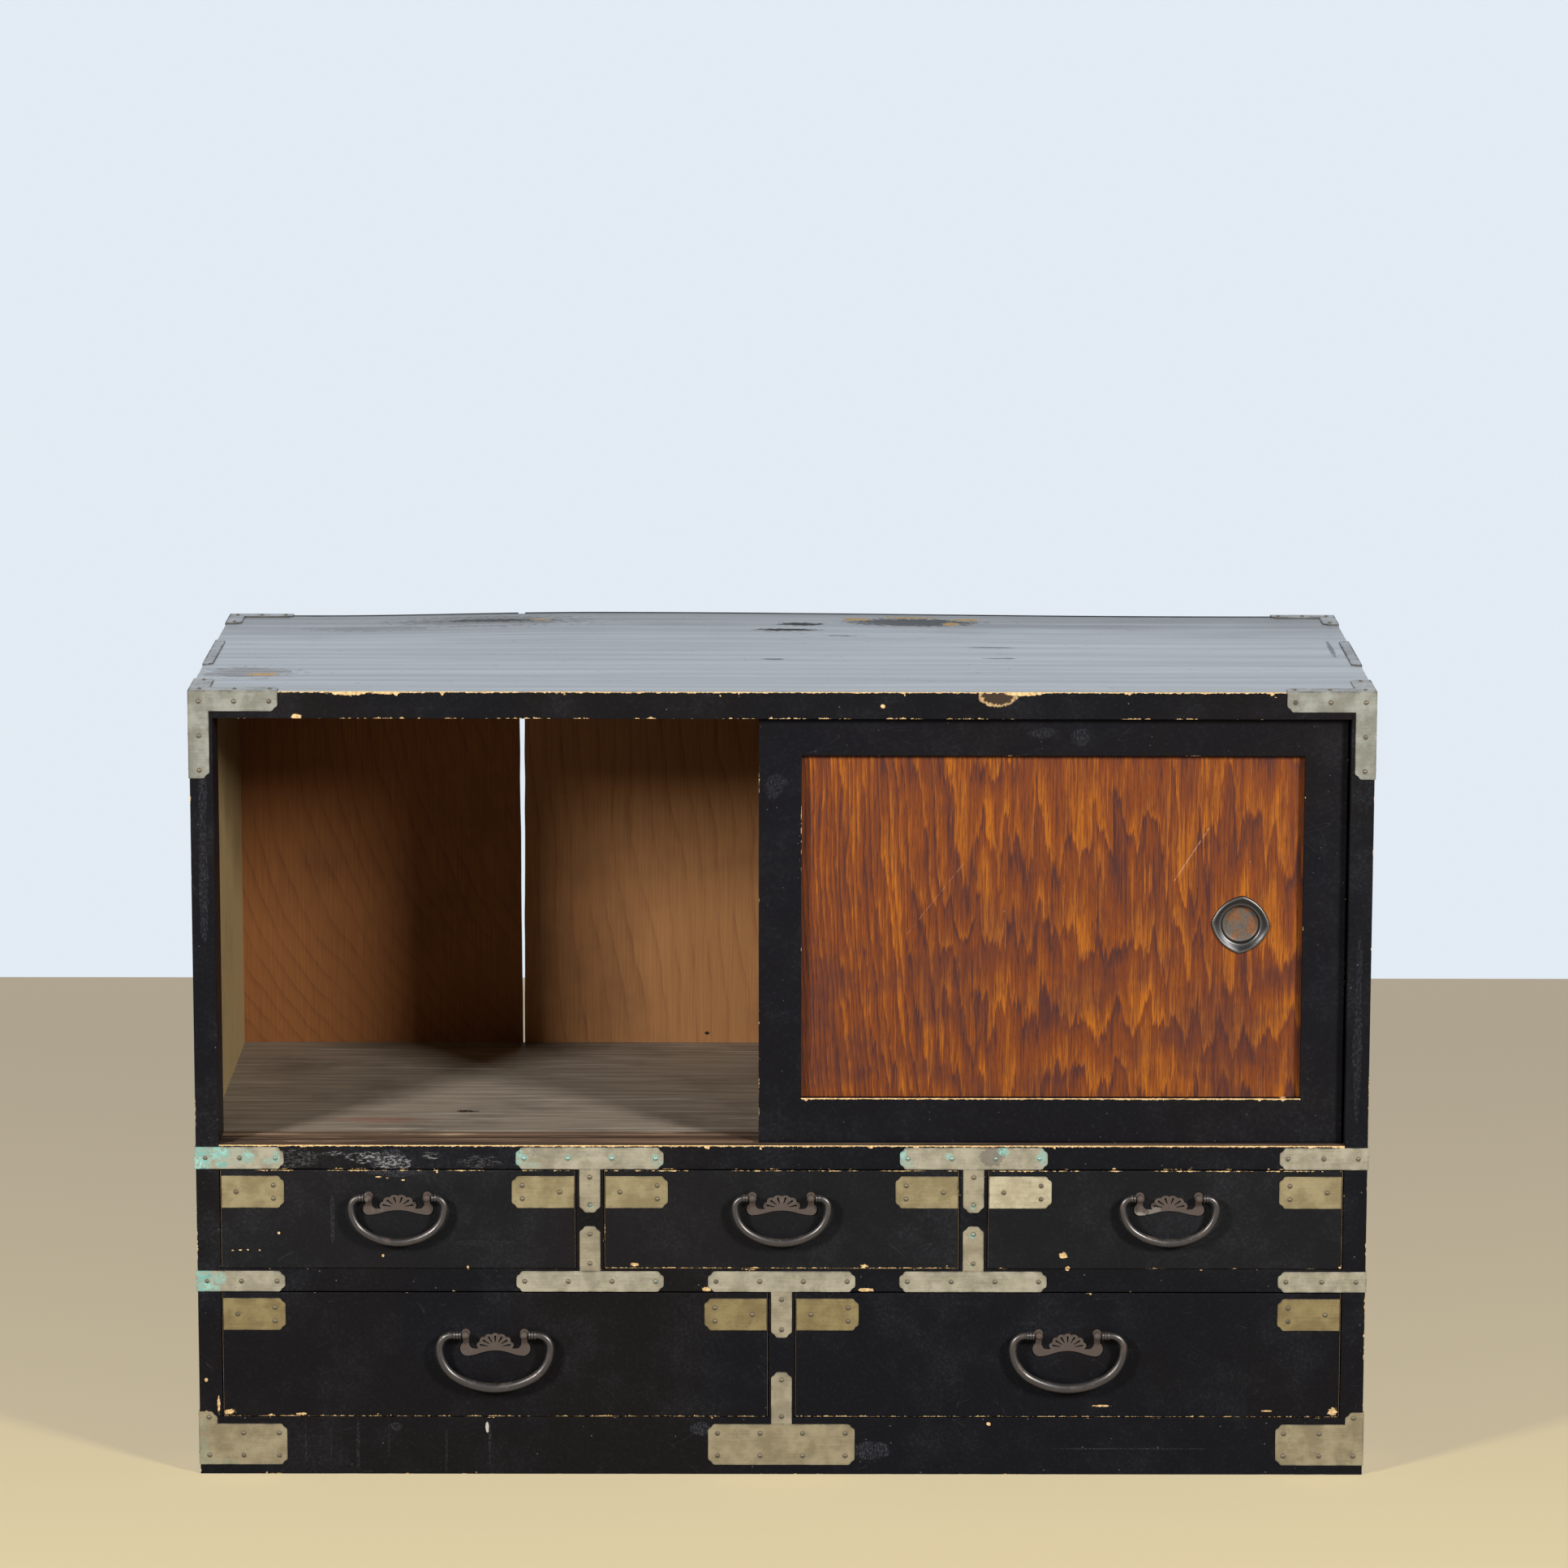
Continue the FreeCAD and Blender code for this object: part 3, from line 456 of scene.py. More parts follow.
class EdgeWear(Effect):
    """Bare wood along a board's edges.

    The vertices carry the distance to the nearest worn edge, how wide the wear reaches there and how much
    of the edge it covers. Coarse noise picks the worn stretches and fine noise their ragged width.
    """

    title = "edge wear"
    takes = {"Place": "Vector"}
    gives = {"Bare": "Float"}

    def wire(self, graph: Graph, given: dict) -> dict:
        """Width = reach x (worn stretches x ragged hairline + a few wide chips); bare inside that width."""
        place = given["Place"]
        stretch = graph.noise(place, 34.0, 3.0, 0.62, 3.1)
        ragged = graph.noise(place, 3.4, 3.0, 0.68, 7.7)
        lumps = graph.noise(place, 8.5, 2.0, 0.5, 5.3)
        cover = graph.value_of("cover")
        start = graph.less(0.76, graph.times(cover, 0.52))
        worn = graph.ramp(stretch, start, graph.add(start, 0.09))
        thinnest = graph.ramp(cover, 0.85, 1.2, 0.0, 0.42)
        hair = graph.times(worn, graph.ramp(ragged, 0.36, 0.72, thinnest, 0.95))
        from_lump = graph.less(0.71, graph.times(cover, 0.075))
        chips = graph.times(graph.ramp(lumps, from_lump, graph.add(from_lump, 0.07)),
                            graph.ramp(cover, 0.0, 0.25))
        wide = graph.times(chips, graph.ramp(ragged, 0.3, 0.7, 0.5, 1.9))
        width = graph.times(graph.value_of("reach"), graph.add(hair, wide))
        gap = graph.less(width, graph.value_of("edge"))
        return {"Bare": graph.ramp(gap, 0.0, 0.12)}


class Spot(Effect):
    """A ragged patch round a point: an ellipsoid whose edge is moved by a noise that the finish shares."""

    title = "spot"
    takes = {"Place": "Vector", "Centre": "Vector", "Inverse": "Vector", "Ragged": "Float", "Noise": "Float"}
    gives = {"Mask": "Float", "Rim": "Float"}

    def wire(self, graph: Graph, given: dict) -> dict:
        """Fades with the distance in radii, moved by the noise; the rim is where that is near 1."""
        away = graph.vector("SUBTRACT", given["Place"], given["Centre"])
        radii = graph.vector("LENGTH", graph.vector("MULTIPLY", away, given["Inverse"]), out=1)
        moved = graph.add(radii, graph.times(graph.less(given["Noise"], 0.5), given["Ragged"]))
        off = graph.math("ABSOLUTE", graph.less(moved, 0.93))
        return {"Mask": graph.ramp(moved, 1.08, 0.86), "Rim": graph.ramp(off, 0.15, 0.06)}


class Scratch(Effect):
    """A straight thin scratch between two points, broken by noise."""

    title = "scratch"
    takes = {"Place": "Vector", "Start": "Vector", "Heading": "Vector", "Length": "Float", "Width": "Float"}
    gives = {"Mask": "Float"}

    def wire(self, graph: Graph, given: dict) -> dict:
        """The gap from the segment against the width, faded at both ends."""
        away = graph.vector("SUBTRACT", given["Place"], given["Start"])
        along = graph.vector("DOT_PRODUCT", away, given["Heading"], out=1)
        held = graph.math("MINIMUM", graph.math("MAXIMUM", along, 0.0), given["Length"])
        scaled = graph.node("VectorMath", {0: given["Heading"], "Scale": held}, operation="SCALE").outputs[0]
        gap = graph.vector("LENGTH", graph.vector("SUBTRACT", away, scaled), out=1)
        broken = graph.ramp(graph.noise(given["Place"], 5.0, 2.0), 0.32, 0.52)
        line = graph.ramp(graph.math("DIVIDE", gap, given["Width"]), 1.0, 0.45)
        return {"Mask": graph.times(line, broken)}


class Specks(Effect):
    """Small dots of dust or paint, one in some of the cells of a cell pattern."""

    title = "specks"
    takes = {"Place": "Vector", "Share": "Float", "Radius": "Float"}
    gives = {"Mask": "Float"}

    def wire(self, graph: Graph, given: dict) -> dict:
        """Dots where the cell's own random number falls under the share; their radius varies with it."""
        cells = graph.node("TexVoronoi", {"Vector": given["Place"], "Scale": 1.0}, feature="F1")
        luck = graph.parts(cells.outputs["Color"])
        chosen = graph.math("LESS_THAN", luck[0], given["Share"])
        radius = graph.times(given["Radius"], graph.add(luck[1], 0.35))
        dot = graph.ramp(graph.less(radius, cells.outputs["Distance"]), 0.0, 0.05)
        return {"Mask": graph.times(dot, chosen)}


class Hairlines(Effect):
    """Fine scuffs: thin level lines of a noise that is stretched along X and tilted."""

    title = "hairlines"
    takes = {"Place": "Vector", "Width": "Float"}
    gives = {"Mask": "Float"}

    def wire(self, graph: Graph, given: dict) -> dict:
        """Two turned copies of the same stretched noise, each kept only in patches."""
        masks = []
        for turn, shift in ((0.3, 1.0), (-0.75, 5.0)):
            turned = graph.node("VectorRotate",
                                {"Vector": given["Place"], "Axis": (0.0, 1.0, 0.0), "Angle": turn},
                                rotation_type="AXIS_ANGLE").outputs[0]
            field_value = graph.noise(turned, (70.0, 9.0, 9.0), 1.0, 0.4, shift)
            off = graph.math("ABSOLUTE", graph.less(field_value, 0.5))
            line = graph.ramp(off, given["Width"], graph.times(given["Width"], 0.3))
            patch = graph.ramp(graph.noise(given["Place"], 38.0, 2.0, 0.5, shift + 2.0), 0.56, 0.66)
            masks.append(graph.times(line, patch))
        return {"Mask": graph.most(masks)}


class MarkKind(Enum):
    """What a placed mark is made of."""

    CHIP = "chip"
    SMUDGE = "smudge"
    STAIN = "stain"
    RUB = "rub"
    VERDIGRIS = "verdigris"
    RIM = "rim"
    PAINT = "paint"


@dataclass(frozen=True)
class Mark:
    """A placed mark: its kind, centre and radii in millimetres, how ragged and how strong it is."""

    kind: MarkKind
    centre: Triple
    radii: Triple
    ragged: float = 1.2
    strength: float = 1.0

    def mask(self, graph: Graph, place: object, noise: object) -> Socket:
        """The mark's mask on a surface."""
        centre = tuple(c * MM for c in self.centre)
        inverse = tuple(1.0 / (r * MM) for r in self.radii)
        spot = Spot().on(graph, Place=place, Centre=centre, Inverse=inverse, Ragged=self.ragged, Noise=noise)
        mask = spot["Rim" if self.kind is MarkKind.RIM else "Mask"]
        return graph.times(mask, self.strength) if self.strength != 1.0 else mask


# Finishes


@dataclass(frozen=True)
class Finish:
    """A surface's look; each subclass paints its own."""

    name: str
    slot: Slot
    marks: tuple[Mark, ...] = ()

    def marked(self, kind: MarkKind, graph: Graph, place: Socket, noise: Socket) -> object:
        """The highest mask of all marks of one kind, or 0 where there are none."""
        masks = [m.mask(graph, place, noise) for m in self.marks if m.kind is kind]
        return graph.most(masks) if masks else 0.0

    def material(self) -> bpy.types.Material:
        """The finish's material, made on first use."""
        found = bpy.data.materials.get(self.name)
        if found:
            return found
        made = bpy.data.materials.new(self.name)
        graph = fresh_graph(made)
        shader = graph.node("BsdfPrincipled")
        graph.node("OutputMaterial", {"Surface": shader.outputs[0]})
        self.paint(graph, graph.node("TexCoord").outputs["Object"], shader)
        return made

    def paint(self, graph: Graph, place: Socket, shader: bpy.types.Node) -> None:
        """Feeds the shader from nodes on the piece's own coordinates."""
        raise NotImplementedError(self.name)


BARE_LIGHT: Colour = (0.88, 0.63, 0.31)
BARE_DARK: Colour = (0.56, 0.34, 0.14)
RUBBED_GREY: Colour = (0.36, 0.35, 0.34)
OLD_PAINT: Colour = (0.56, 0.53, 0.46)
BURNT: Colour = (0.055, 0.036, 0.026)


@dataclass(frozen=True)
class Lacquer(Finish):
    """Old black lacquer over pale wood: dull film, dust smudges, specks, scuffs and chipped edges."""

    film: Colour = (0.0066, 0.0066, 0.0088)
    warm: Colour = (0.0084, 0.0072, 0.0076)
    haze: Colour = (0.10, 0.105, 0.12)
    haze_share: float = 0.13
    grain: Triple = (160.0, 2.2, 2.2)
    roughness: float = 0.42
    coat: float = 0.03
    wear: bool = True

    def paint(self, graph: Graph, place: Socket, shader: bpy.types.Node) -> None:
        """Film, then haze, smudges, specks and scuffs, then bare wood where edges and chips show it."""
        broad = graph.noise(place, 210.0, 3.0, 0.55, 1.3)
        cloud = graph.noise(place, 46.0, 4.0, 0.62, 4.4)
        fine = graph.noise(place, 2.7, 4.0, 0.7, 2.2)
        fibre = graph.noise(place, self.grain, 3.0, 0.6, 9.0)
        colour = graph.mix(graph.ramp(broad, 0.42, 0.62), self.film, self.warm)
        haze = graph.times(graph.ramp(cloud, 0.44, 0.8), graph.ramp(fine, 0.34, 0.72, 0.1, 1.0))
        haze = graph.times(haze, self.haze_share)
        smudge = self.marked(MarkKind.SMUDGE, graph, place, cloud)
        if smudge != 0.0:
            scrape = graph.noise(place, (1.3, 3.0, 2.4), 5.0, 0.82, 14.0)
            smudge = graph.times(smudge, graph.ramp(scrape, 0.46, 0.62, 0.05, 1.0))
            haze = graph.math("MAXIMUM", haze, graph.times(smudge, 0.9))
        scuff = Hairlines().on(graph, Place=place, Width=0.006)["Mask"]
        haze = graph.math("MAXIMUM", haze, graph.times(scuff, 0.13))
        specks = Specks().on(graph, Place=graph.scaled(place, 6.0), Share=0.32, Radius=0.09)["Mask"]
        haze = graph.math("MAXIMUM", haze, graph.times(specks, 0.9))
        haze = graph.add(haze, graph.ramp(fine, 0.5, 0.72, 0.0, 0.05))
        colour = graph.mix(haze, colour, self.haze)
        rub = self.marked(MarkKind.RUB, graph, place, cloud)
        if rub != 0.0:
            scratch = graph.noise(place, (3.4, 3.0, 1.2), 5.0, 0.78, 21.0)
            colour = graph.mix(graph.times(rub, graph.ramp(scratch, 0.49, 0.62)), colour, RUBBED_GREY)
        paint = self.marked(MarkKind.PAINT, graph, place, fine)
        if paint != 0.0:
            colour = graph.mix(paint, colour, OLD_PAINT)
        stain = self.marked(MarkKind.STAIN, graph, place, fine)
        if stain != 0.0:
            colour = graph.mix(stain, colour, BURNT)
        bare = self.chipped(graph, place, fine)
        if self.wear:
            edge = EdgeWear().on(graph, Place=place)["Bare"]
            bare = edge if bare == 0.0 else graph.math("MAXIMUM", edge, bare)
        height = graph.times(graph.add(graph.times(fibre, 0.6), fine), 0.022)
        rough = graph.add(graph.ramp(cloud, 0.3, 0.75, self.roughness - 0.06, self.roughness + 0.1),
                          graph.times(haze, 0.3))
        if bare != 0.0:
            colour = graph.mix(bare, colour, self.bare_wood(graph, place))
            rough = graph.between(bare, rough, 0.8)
            height = graph.less(height, graph.times(bare, 0.16))
        graph.feed_all(shader, {
            "Base Color": colour, "Roughness": rough, "Normal": graph.bump(height, 0.7),
            "Specular IOR Level": 0.1, "Coat Weight": self.coat, "Coat Roughness": 0.34})

    def bare_wood(self, graph: Graph, place: Socket) -> Socket:
        """Colour of the wood that shows where the lacquer is gone."""
        tone = graph.ramp(graph.noise(place, 2.6, 3.0, 0.6, 12.0), 0.36, 0.66)
        return graph.mix(tone, BARE_LIGHT, BARE_DARK)

    def chipped(self, graph: Graph, place: Socket, fine: Socket) -> object:
        """Mask of placed chips and of the pale rims round peeled places."""
        masks = [self.marked(kind, graph, place, fine) for kind in (MarkKind.CHIP, MarkKind.RIM)]
        masks = [mask for mask in masks if mask != 0.0]
        return graph.most(masks) if masks else 0.0


@dataclass(frozen=True)
class TopLacquer(Lacquer):
    """The top's lacquer: duller and dustier, streaked along the boards, with worn patches; its blue-grey
    colour is partly painted sheen.
    """

    def paint(self, graph: Graph, place: Socket, shader: bpy.types.Node) -> None:
        """Film and dust in long streaks, partly painted sheen, then scars that are dark, brown or rimmed
        with pale wood.
        """
        streak = graph.noise(place, (520.0, 13.0, 40.0), 5.0, 0.62, 2.0)
        thread = graph.noise(place, (150.0, 2.6, 8.0), 3.0, 0.6, 6.0)
        cloud = graph.noise(place, (150.0, 55.0, 60.0), 4.0, 0.6, 4.4)
        fine = graph.noise(place, (6.0, 3.4, 3.0), 4.0, 0.66, 2.2)
        # Towards the rear the colour turns darker and warmer and the coat thinner, so the painted sheen
        # fades there.
        rear = graph.add(graph.parts(place)[1], graph.times(graph.less(cloud, 0.5), 0.16))
        rear = graph.ramp(rear, 0.04, 0.2)
        colour = graph.mix(graph.ramp(streak, 0.36, 0.66), self.film, self.haze)
        brown = graph.times(graph.ramp(cloud, 0.5, 0.72), graph.ramp(thread, 0.4, 0.65, 0.25, 0.9))
        warm = graph.math("MAXIMUM", graph.times(rear, 0.45), graph.times(brown, 0.5))
        colour = graph.mix(warm, colour, self.warm)
        specks = Specks().on(graph, Place=graph.scaled(place, (16.0, 9.0, 9.0)), Share=0.2,
                             Radius=0.1)["Mask"]
        scuff = Hairlines().on(graph, Place=place, Width=0.007)["Mask"]
        stain = self.marked(MarkKind.STAIN, graph, place, fine)
        rub = self.marked(MarkKind.RUB, graph, place, fine)
        rub = graph.times(rub, graph.ramp(thread, 0.4, 0.6, 0.15, 1.0))
        edge = EdgeWear().on(graph, Place=place)["Bare"]
        bare = graph.math("MAXIMUM", edge, self.chipped(graph, place, fine))
        colour = graph.mix(rub, colour, (0.10, 0.075, 0.058))
        colour = graph.mix(stain, colour, (0.010, 0.008, 0.007))
        colour = graph.mix(bare, colour, self.bare_wood(graph, place))
        dull = graph.most([stain, graph.times(rub, 0.8), bare, graph.times(specks, 0.45),
                           graph.times(scuff, 0.35)])
        gloss = graph.add(graph.times(streak, 0.65), graph.times(thread, 0.35))
        gloss = graph.ramp(gloss, 0.34, 0.60, 0.76, 1.0)
        gloss = graph.times(graph.times(gloss, graph.less(1.0, graph.times(rear, 0.68))), self.coat)
        rough = graph.ramp(streak, 0.3, 0.75, self.roughness + 0.08, self.roughness - 0.05)
        rough = graph.between(dull, rough, 0.85)
        height = graph.times(graph.add(thread, graph.times(fine, 0.5)), 0.03)
        height = graph.less(height, graph.times(graph.math("MAXIMUM", bare, graph.times(stain, 0.8)), 0.15))
        graph.feed_all(shader, {
            "Base Color": colour, "Roughness": rough, "Normal": graph.bump(height, 0.35),
            "Coat Weight": graph.times(gloss, graph.less(1.0, dull)), "Coat Roughness": 0.26,
            "Coat IOR": 1.62})


@dataclass(frozen=True)
class BoardWood(Finish):
    """Unlacquered board: growth lines along Z or X, fibre streaks, grime and pale rubbed streaks."""

    early: Colour = (0.52, 0.235, 0.085)
    late: Colour = (0.27, 0.095, 0.034)
    grime: Colour = (0.06, 0.035, 0.02)
    pitch: float = 17.0
    along: int = 2
    bend: float = 3.2
    line_depth: float = 0.55
    grime_share: float = 0.3
    roughness: float = 0.62
    pale: Colour = (0.5, 0.42, 0.32)
    pale_share: float = 0.0
    fan_middle: float = 0.0
    fan: float = 0.0
    curve: float = 0.0
    fibre_length: float = 60.0
    fibre_width: float = 1.1
    fibre_depth: float = 0.28

    def cell(self, long: float, across: float) -> Triple:
        """A noise's cell, long along the grain."""
        return tuple(long if axis == self.along else across for axis in range(3))

    def paint(self, graph: Graph, place: Socket, shader: bpy.types.Node) -> None:
        """Growth lines are a saw of the cross coordinate, bent by broad noise stretched along the board."""
        bend = graph.times(graph.noise(place, self.cell(340.0, 120.0), 4.0, 0.52, 2.6), self.bend)
        x, y, z = graph.parts(place)
        cross = y if self.along == 0 else x
        if self.fan:
            spread = graph.add(1.0, graph.times(graph.less(0.6, z), self.fan / 0.3))
            cross = graph.math("DIVIDE", graph.less(x, self.fan_middle * MM), spread)
            sag = graph.math("MAXIMUM", graph.less(0.52, z), 0.0)
            cross = graph.less(cross, graph.times(graph.times(sag, sag), self.curve))
        phase = graph.add(graph.times(cross, 1.0 / (self.pitch * MM)), bend)
        saw = graph.math("FRACT", phase)
        late = graph.times(graph.math("POWER", saw, 5.0), graph.ramp(saw, 1.0, 0.95))
        late = graph.times(late, graph.ramp(graph.noise(place, 70.0, 3.0, 0.6, 14.0), 0.34, 0.62, 0.3, 1.0))
        fibre = graph.noise(place, self.cell(self.fibre_length, self.fibre_width), 3.0, 0.62, 3.0)
        patch = graph.noise(place, 85.0, 4.0, 0.58, 8.0)
        fibres = graph.times(graph.ramp(fibre, 0.36, 0.66), self.fibre_depth)
        share = graph.add(graph.times(late, self.line_depth), fibres)
        colour = graph.mix(share, self.early, self.late)
        colour = graph.mix(graph.times(graph.ramp(patch, 0.46, 0.76), self.grime_share), colour, self.grime)
        if self.pale_share:
            rubbed = graph.noise(place, self.cell(110.0, 5.0), 4.0, 0.6, 5.0)
            rubbed = graph.times(graph.ramp(rubbed, 0.54, 0.72), self.pale_share)
            colour = graph.mix(rubbed, colour, self.pale)
        noise = graph.noise(place, 3.2, 3.0, 0.6, 2.2)
        red = self.marked(MarkKind.RUB, graph, place, noise)
        if red != 0.0:
            colour = graph.mix(graph.times(red, 0.6), colour, (0.36, 0.06, 0.035))
        stain = self.marked(MarkKind.STAIN, graph, place, noise)
        if stain != 0.0:
            colour = graph.mix(stain, colour, (0.018, 0.012, 0.01))
        specks = Specks().on(graph, Place=graph.scaled(place, 14.0), Share=0.2, Radius=0.06)["Mask"]
        colour = graph.mix(graph.times(specks, 0.5), colour, self.grime)
        height = graph.add(graph.times(fibre, 0.08), graph.times(late, 0.05))
        rough = graph.ramp(fibre, 0.3, 0.8, self.roughness - 0.08, self.roughness + 0.12)
        graph.feed_all(shader, {
            "Base Color": colour, "Roughness": rough, "Normal": graph.bump(height, 0.55),
            "Specular IOR Level": 0.25})


@dataclass(frozen=True)
class FiguredPanel(Finish):
    """Stained panel whose growth bands stand in flame points, straight grained at its left."""

    shift: float = 0.0
    crown: float = 570.0
    straight_from: float = 150.0
    spike_width: float = 10.5
    scratches: tuple[tuple[Triple, Triple, float], ...] = ()

    def paint(self, graph: Graph, place: Socket, shader: bpy.types.Node) -> None:
        """Bands are a saw of the depth below the panel's crown, moved by points across X and by thin fibres.

        The count of bands grows as a t + b t^2 with the depth t, so that they crowd towards the foot. Left
        of the flames a square of the distance is added, which stands the bands up into straight lines.
        """
        x, _, z = graph.parts(place)
        x_mm = graph.add(graph.times(x, 1000.0), self.shift)
        depth = graph.less(self.crown, graph.times(z, 1000.0))
        drift = graph.noise(place, (70.0, 400.0, 240.0), 2.0, 0.5, 1.0 + self.shift)
        height = graph.noise(place, (17.0, 400.0, 120.0), 1.0, 0.5, 6.0 + self.shift)
        fibre = graph.noise(place, (0.9, 400.0, 24.0), 3.0, 0.66, 2.0 + self.shift)
        thread = graph.noise(place, (3.6, 400.0, 70.0), 3.0, 0.62, 4.0 + self.shift)
        broad = graph.noise(place, (75.0, 400.0, 110.0), 2.0, 0.5, 3.0)
        count = graph.add(graph.times(depth, 0.0085), graph.times(graph.times(depth, depth), 1.8e-5))
        lead_at = graph.add(graph.times(x_mm, 1.0 / self.spike_width), graph.times(drift, 5.0))
        lead = graph.math("PINGPONG", lead_at, 1.0)
        minor = graph.math("PINGPONG", graph.add(graph.times(x_mm, 0.23), graph.times(height, 6.0)), 1.0)
        calm = graph.ramp(x_mm, 330.0, 400.0, 1.0, 0.45)
        swing = graph.times(lead, graph.ramp(height, 0.32, 0.68, 0.1, 0.85))
        swing = graph.add(swing, graph.times(minor, 0.13))
        swing = graph.times(graph.add(swing, graph.times(graph.less(thread, 0.5), 1.3)), calm)
        swing = graph.add(swing, graph.times(graph.less(fibre, 0.5), 0.5))
        swing = graph.add(swing, graph.times(graph.less(broad, 0.5), 2.0))
        left = graph.math("MAXIMUM", graph.less(self.straight_from, x_mm), 0.0)
        stand = graph.times(graph.times(left, left), 1.0 / 900.0)
        phase = graph.add(graph.add(count, swing), stand)
        saw = graph.math("FRACT", phase)
        edge = graph.ramp(saw, 0.87, 1.0, 1.0, 0.0)
        tone = graph.times(graph.math("POWER", saw, 0.8), edge)
        ground = graph.ramp(graph.noise(place, (11.0, 400.0, 150.0), 2.0, 0.6, 11.0), 0.3, 0.7)
        tone = graph.between(graph.ramp(x_mm, 130.0, 60.0, 0.2, 0.32), tone, ground)
        tone = graph.between(0.18, tone, ground)
        tone = graph.add(tone, graph.times(graph.less(fibre, 0.5), 0.6))
        colour = graph.mix(graph.ramp(tone, 0.0, 0.42), (0.072, 0.026, 0.022), (0.205, 0.051, 0.012))
        colour = graph.mix(graph.ramp(tone, 0.42, 1.0), colour, (0.47, 0.143, 0.012))
        gloom = graph.ramp(graph.noise(place, (60.0, 400.0, 45.0), 3.0, 0.55, 18.0 + self.shift), 0.42, 0.66)
        gloom = graph.times(gloom, graph.ramp(depth, 70.0, 190.0, 0.1, 0.5))
        colour = graph.mix(gloom, colour, (0.066, 0.025, 0.025))
        pores = graph.noise(place, (0.9, 400.0, 13.0), 3.0, 0.6, 5.0)
        colour = graph.mix(graph.ramp(pores, 0.5, 0.68, 0.0, 0.55), colour, (0.052, 0.020, 0.016))
        dark = graph.noise(place, (1.3, 400.0, 60.0), 3.0, 0.65, 15.0)
        colour = graph.mix(graph.ramp(dark, 0.48, 0.62, 0.0, 0.5), colour, (0.062, 0.022, 0.019))
        colour = graph.mix(graph.times(self.scratched(graph, place), 0.5), colour, (0.62, 0.42, 0.3))
        relief = graph.add(graph.times(pores, -0.06), graph.times(fibre, 0.03))
        graph.feed_all(shader, {
            "Base Color": colour, "Roughness": graph.ramp(fibre, 0.3, 0.75, 0.38, 0.52),
            "Normal": graph.bump(relief, 0.6), "Specular IOR Level": 0.2})

    def scratched(self, graph: Graph, place: Socket) -> Socket:
        """Mask of the placed scratches and of some pale specks."""
        masks = []
        for start, end, strength in self.scratches:
            line = np.array(end) - np.array(start)
            length = float(np.linalg.norm(line))
            scratch = Scratch().on(graph, Place=place, Start=tuple(c * MM for c in start),
                                   Heading=tuple(line / length), Length=length * MM, Width=0.5 * MM)["Mask"]
            masks.append(graph.times(scratch, strength))
        masks.append(Specks().on(graph, Place=graph.scaled(place, 24.0), Share=0.16, Radius=0.03)["Mask"])
        return graph.most(masks)


@dataclass(frozen=True)
class SheetMetal(Finish):
    """Tarnished sheet metal: mottled, dirty round its nails and rim, green with corrosion where marked."""

    bright: Colour = (0.51, 0.465, 0.345)
    dull: Colour = (0.345, 0.308, 0.218)
    dirt: Colour = (0.09, 0.082, 0.064)
    metallic: float = 0.3
    roughness: float = 0.46
    brushed: Triple = (30.0, 4.0, 1.2)

    def paint(self, graph: Graph, place: Socket, shader: bpy.types.Node) -> None:
        """Mottled metal, darkened by the distance to rim and nails, then stains and verdigris over it."""
        cloud = graph.noise(place, 17.0, 4.0, 0.6, 1.1)
        fine = graph.noise(place, 2.6, 4.0, 0.65, 3.3)
        brush = graph.noise(place, self.brushed, 3.0, 0.6, 5.1)
        rim = graph.value_of("edge")
        nail = graph.value_of("nail")
        mottle = graph.add(graph.times(cloud, 0.75), graph.times(brush, 0.25))
        colour = graph.mix(graph.ramp(mottle, 0.38, 0.62), self.bright, self.dull)
        ring = graph.times(graph.ramp(nail, 2.7, 1.75), graph.ramp(fine, 0.3, 0.62, 0.3, 0.85))
        border = graph.times(graph.ramp(rim, 1.5, 0.1), graph.ramp(cloud, 0.38, 0.64, 0.2, 0.85))
        fleck = Specks().on(graph, Place=graph.scaled(place, 5.0), Share=0.2, Radius=0.12)["Mask"]
        blotch = graph.ramp(graph.noise(place, 7.0, 5.0, 0.7, 8.1), 0.5, 0.74, 0.0, 0.42)
        grime = graph.most([ring, border, blotch, graph.times(fleck, 0.5)])
        colour = graph.mix(grime, colour, self.dirt)
        stain = self.marked(MarkKind.STAIN, graph, place, fine)
        if stain != 0.0:
            colour = graph.mix(graph.times(stain, 0.75), colour, (0.12, 0.10, 0.085))
            grime = graph.math("MAXIMUM", grime, stain)
        green = self.marked(MarkKind.VERDIGRIS, graph, place, fine)
        if green != 0.0:
            crust = graph.mix(graph.ramp(cloud, 0.35, 0.65), (0.13, 0.37, 0.31), (0.33, 0.66, 0.58))
            green = graph.times(green, graph.ramp(fine, 0.38, 0.58, 0.25, 1.0))
            colour = graph.mix(green, colour, crust)
            grime = graph.math("MAXIMUM", grime, green)
        height = graph.add(graph.times(fine, 0.05), graph.times(graph.noise(place, 24.0, 2.0), 0.5))
        if green != 0.0:
            height = graph.add(height, graph.times(green, 0.1))
        rough = graph.ramp(fine, 0.3, 0.75, self.roughness - 0.07, self.roughness + 0.1)
        graph.feed_all(shader, {
            "Base Color": colour, "Metallic": graph.between(grime, self.metallic, 0.0),
            "Roughness": graph.between(grime, rough, 0.82), "Normal": graph.bump(height, 0.6)})


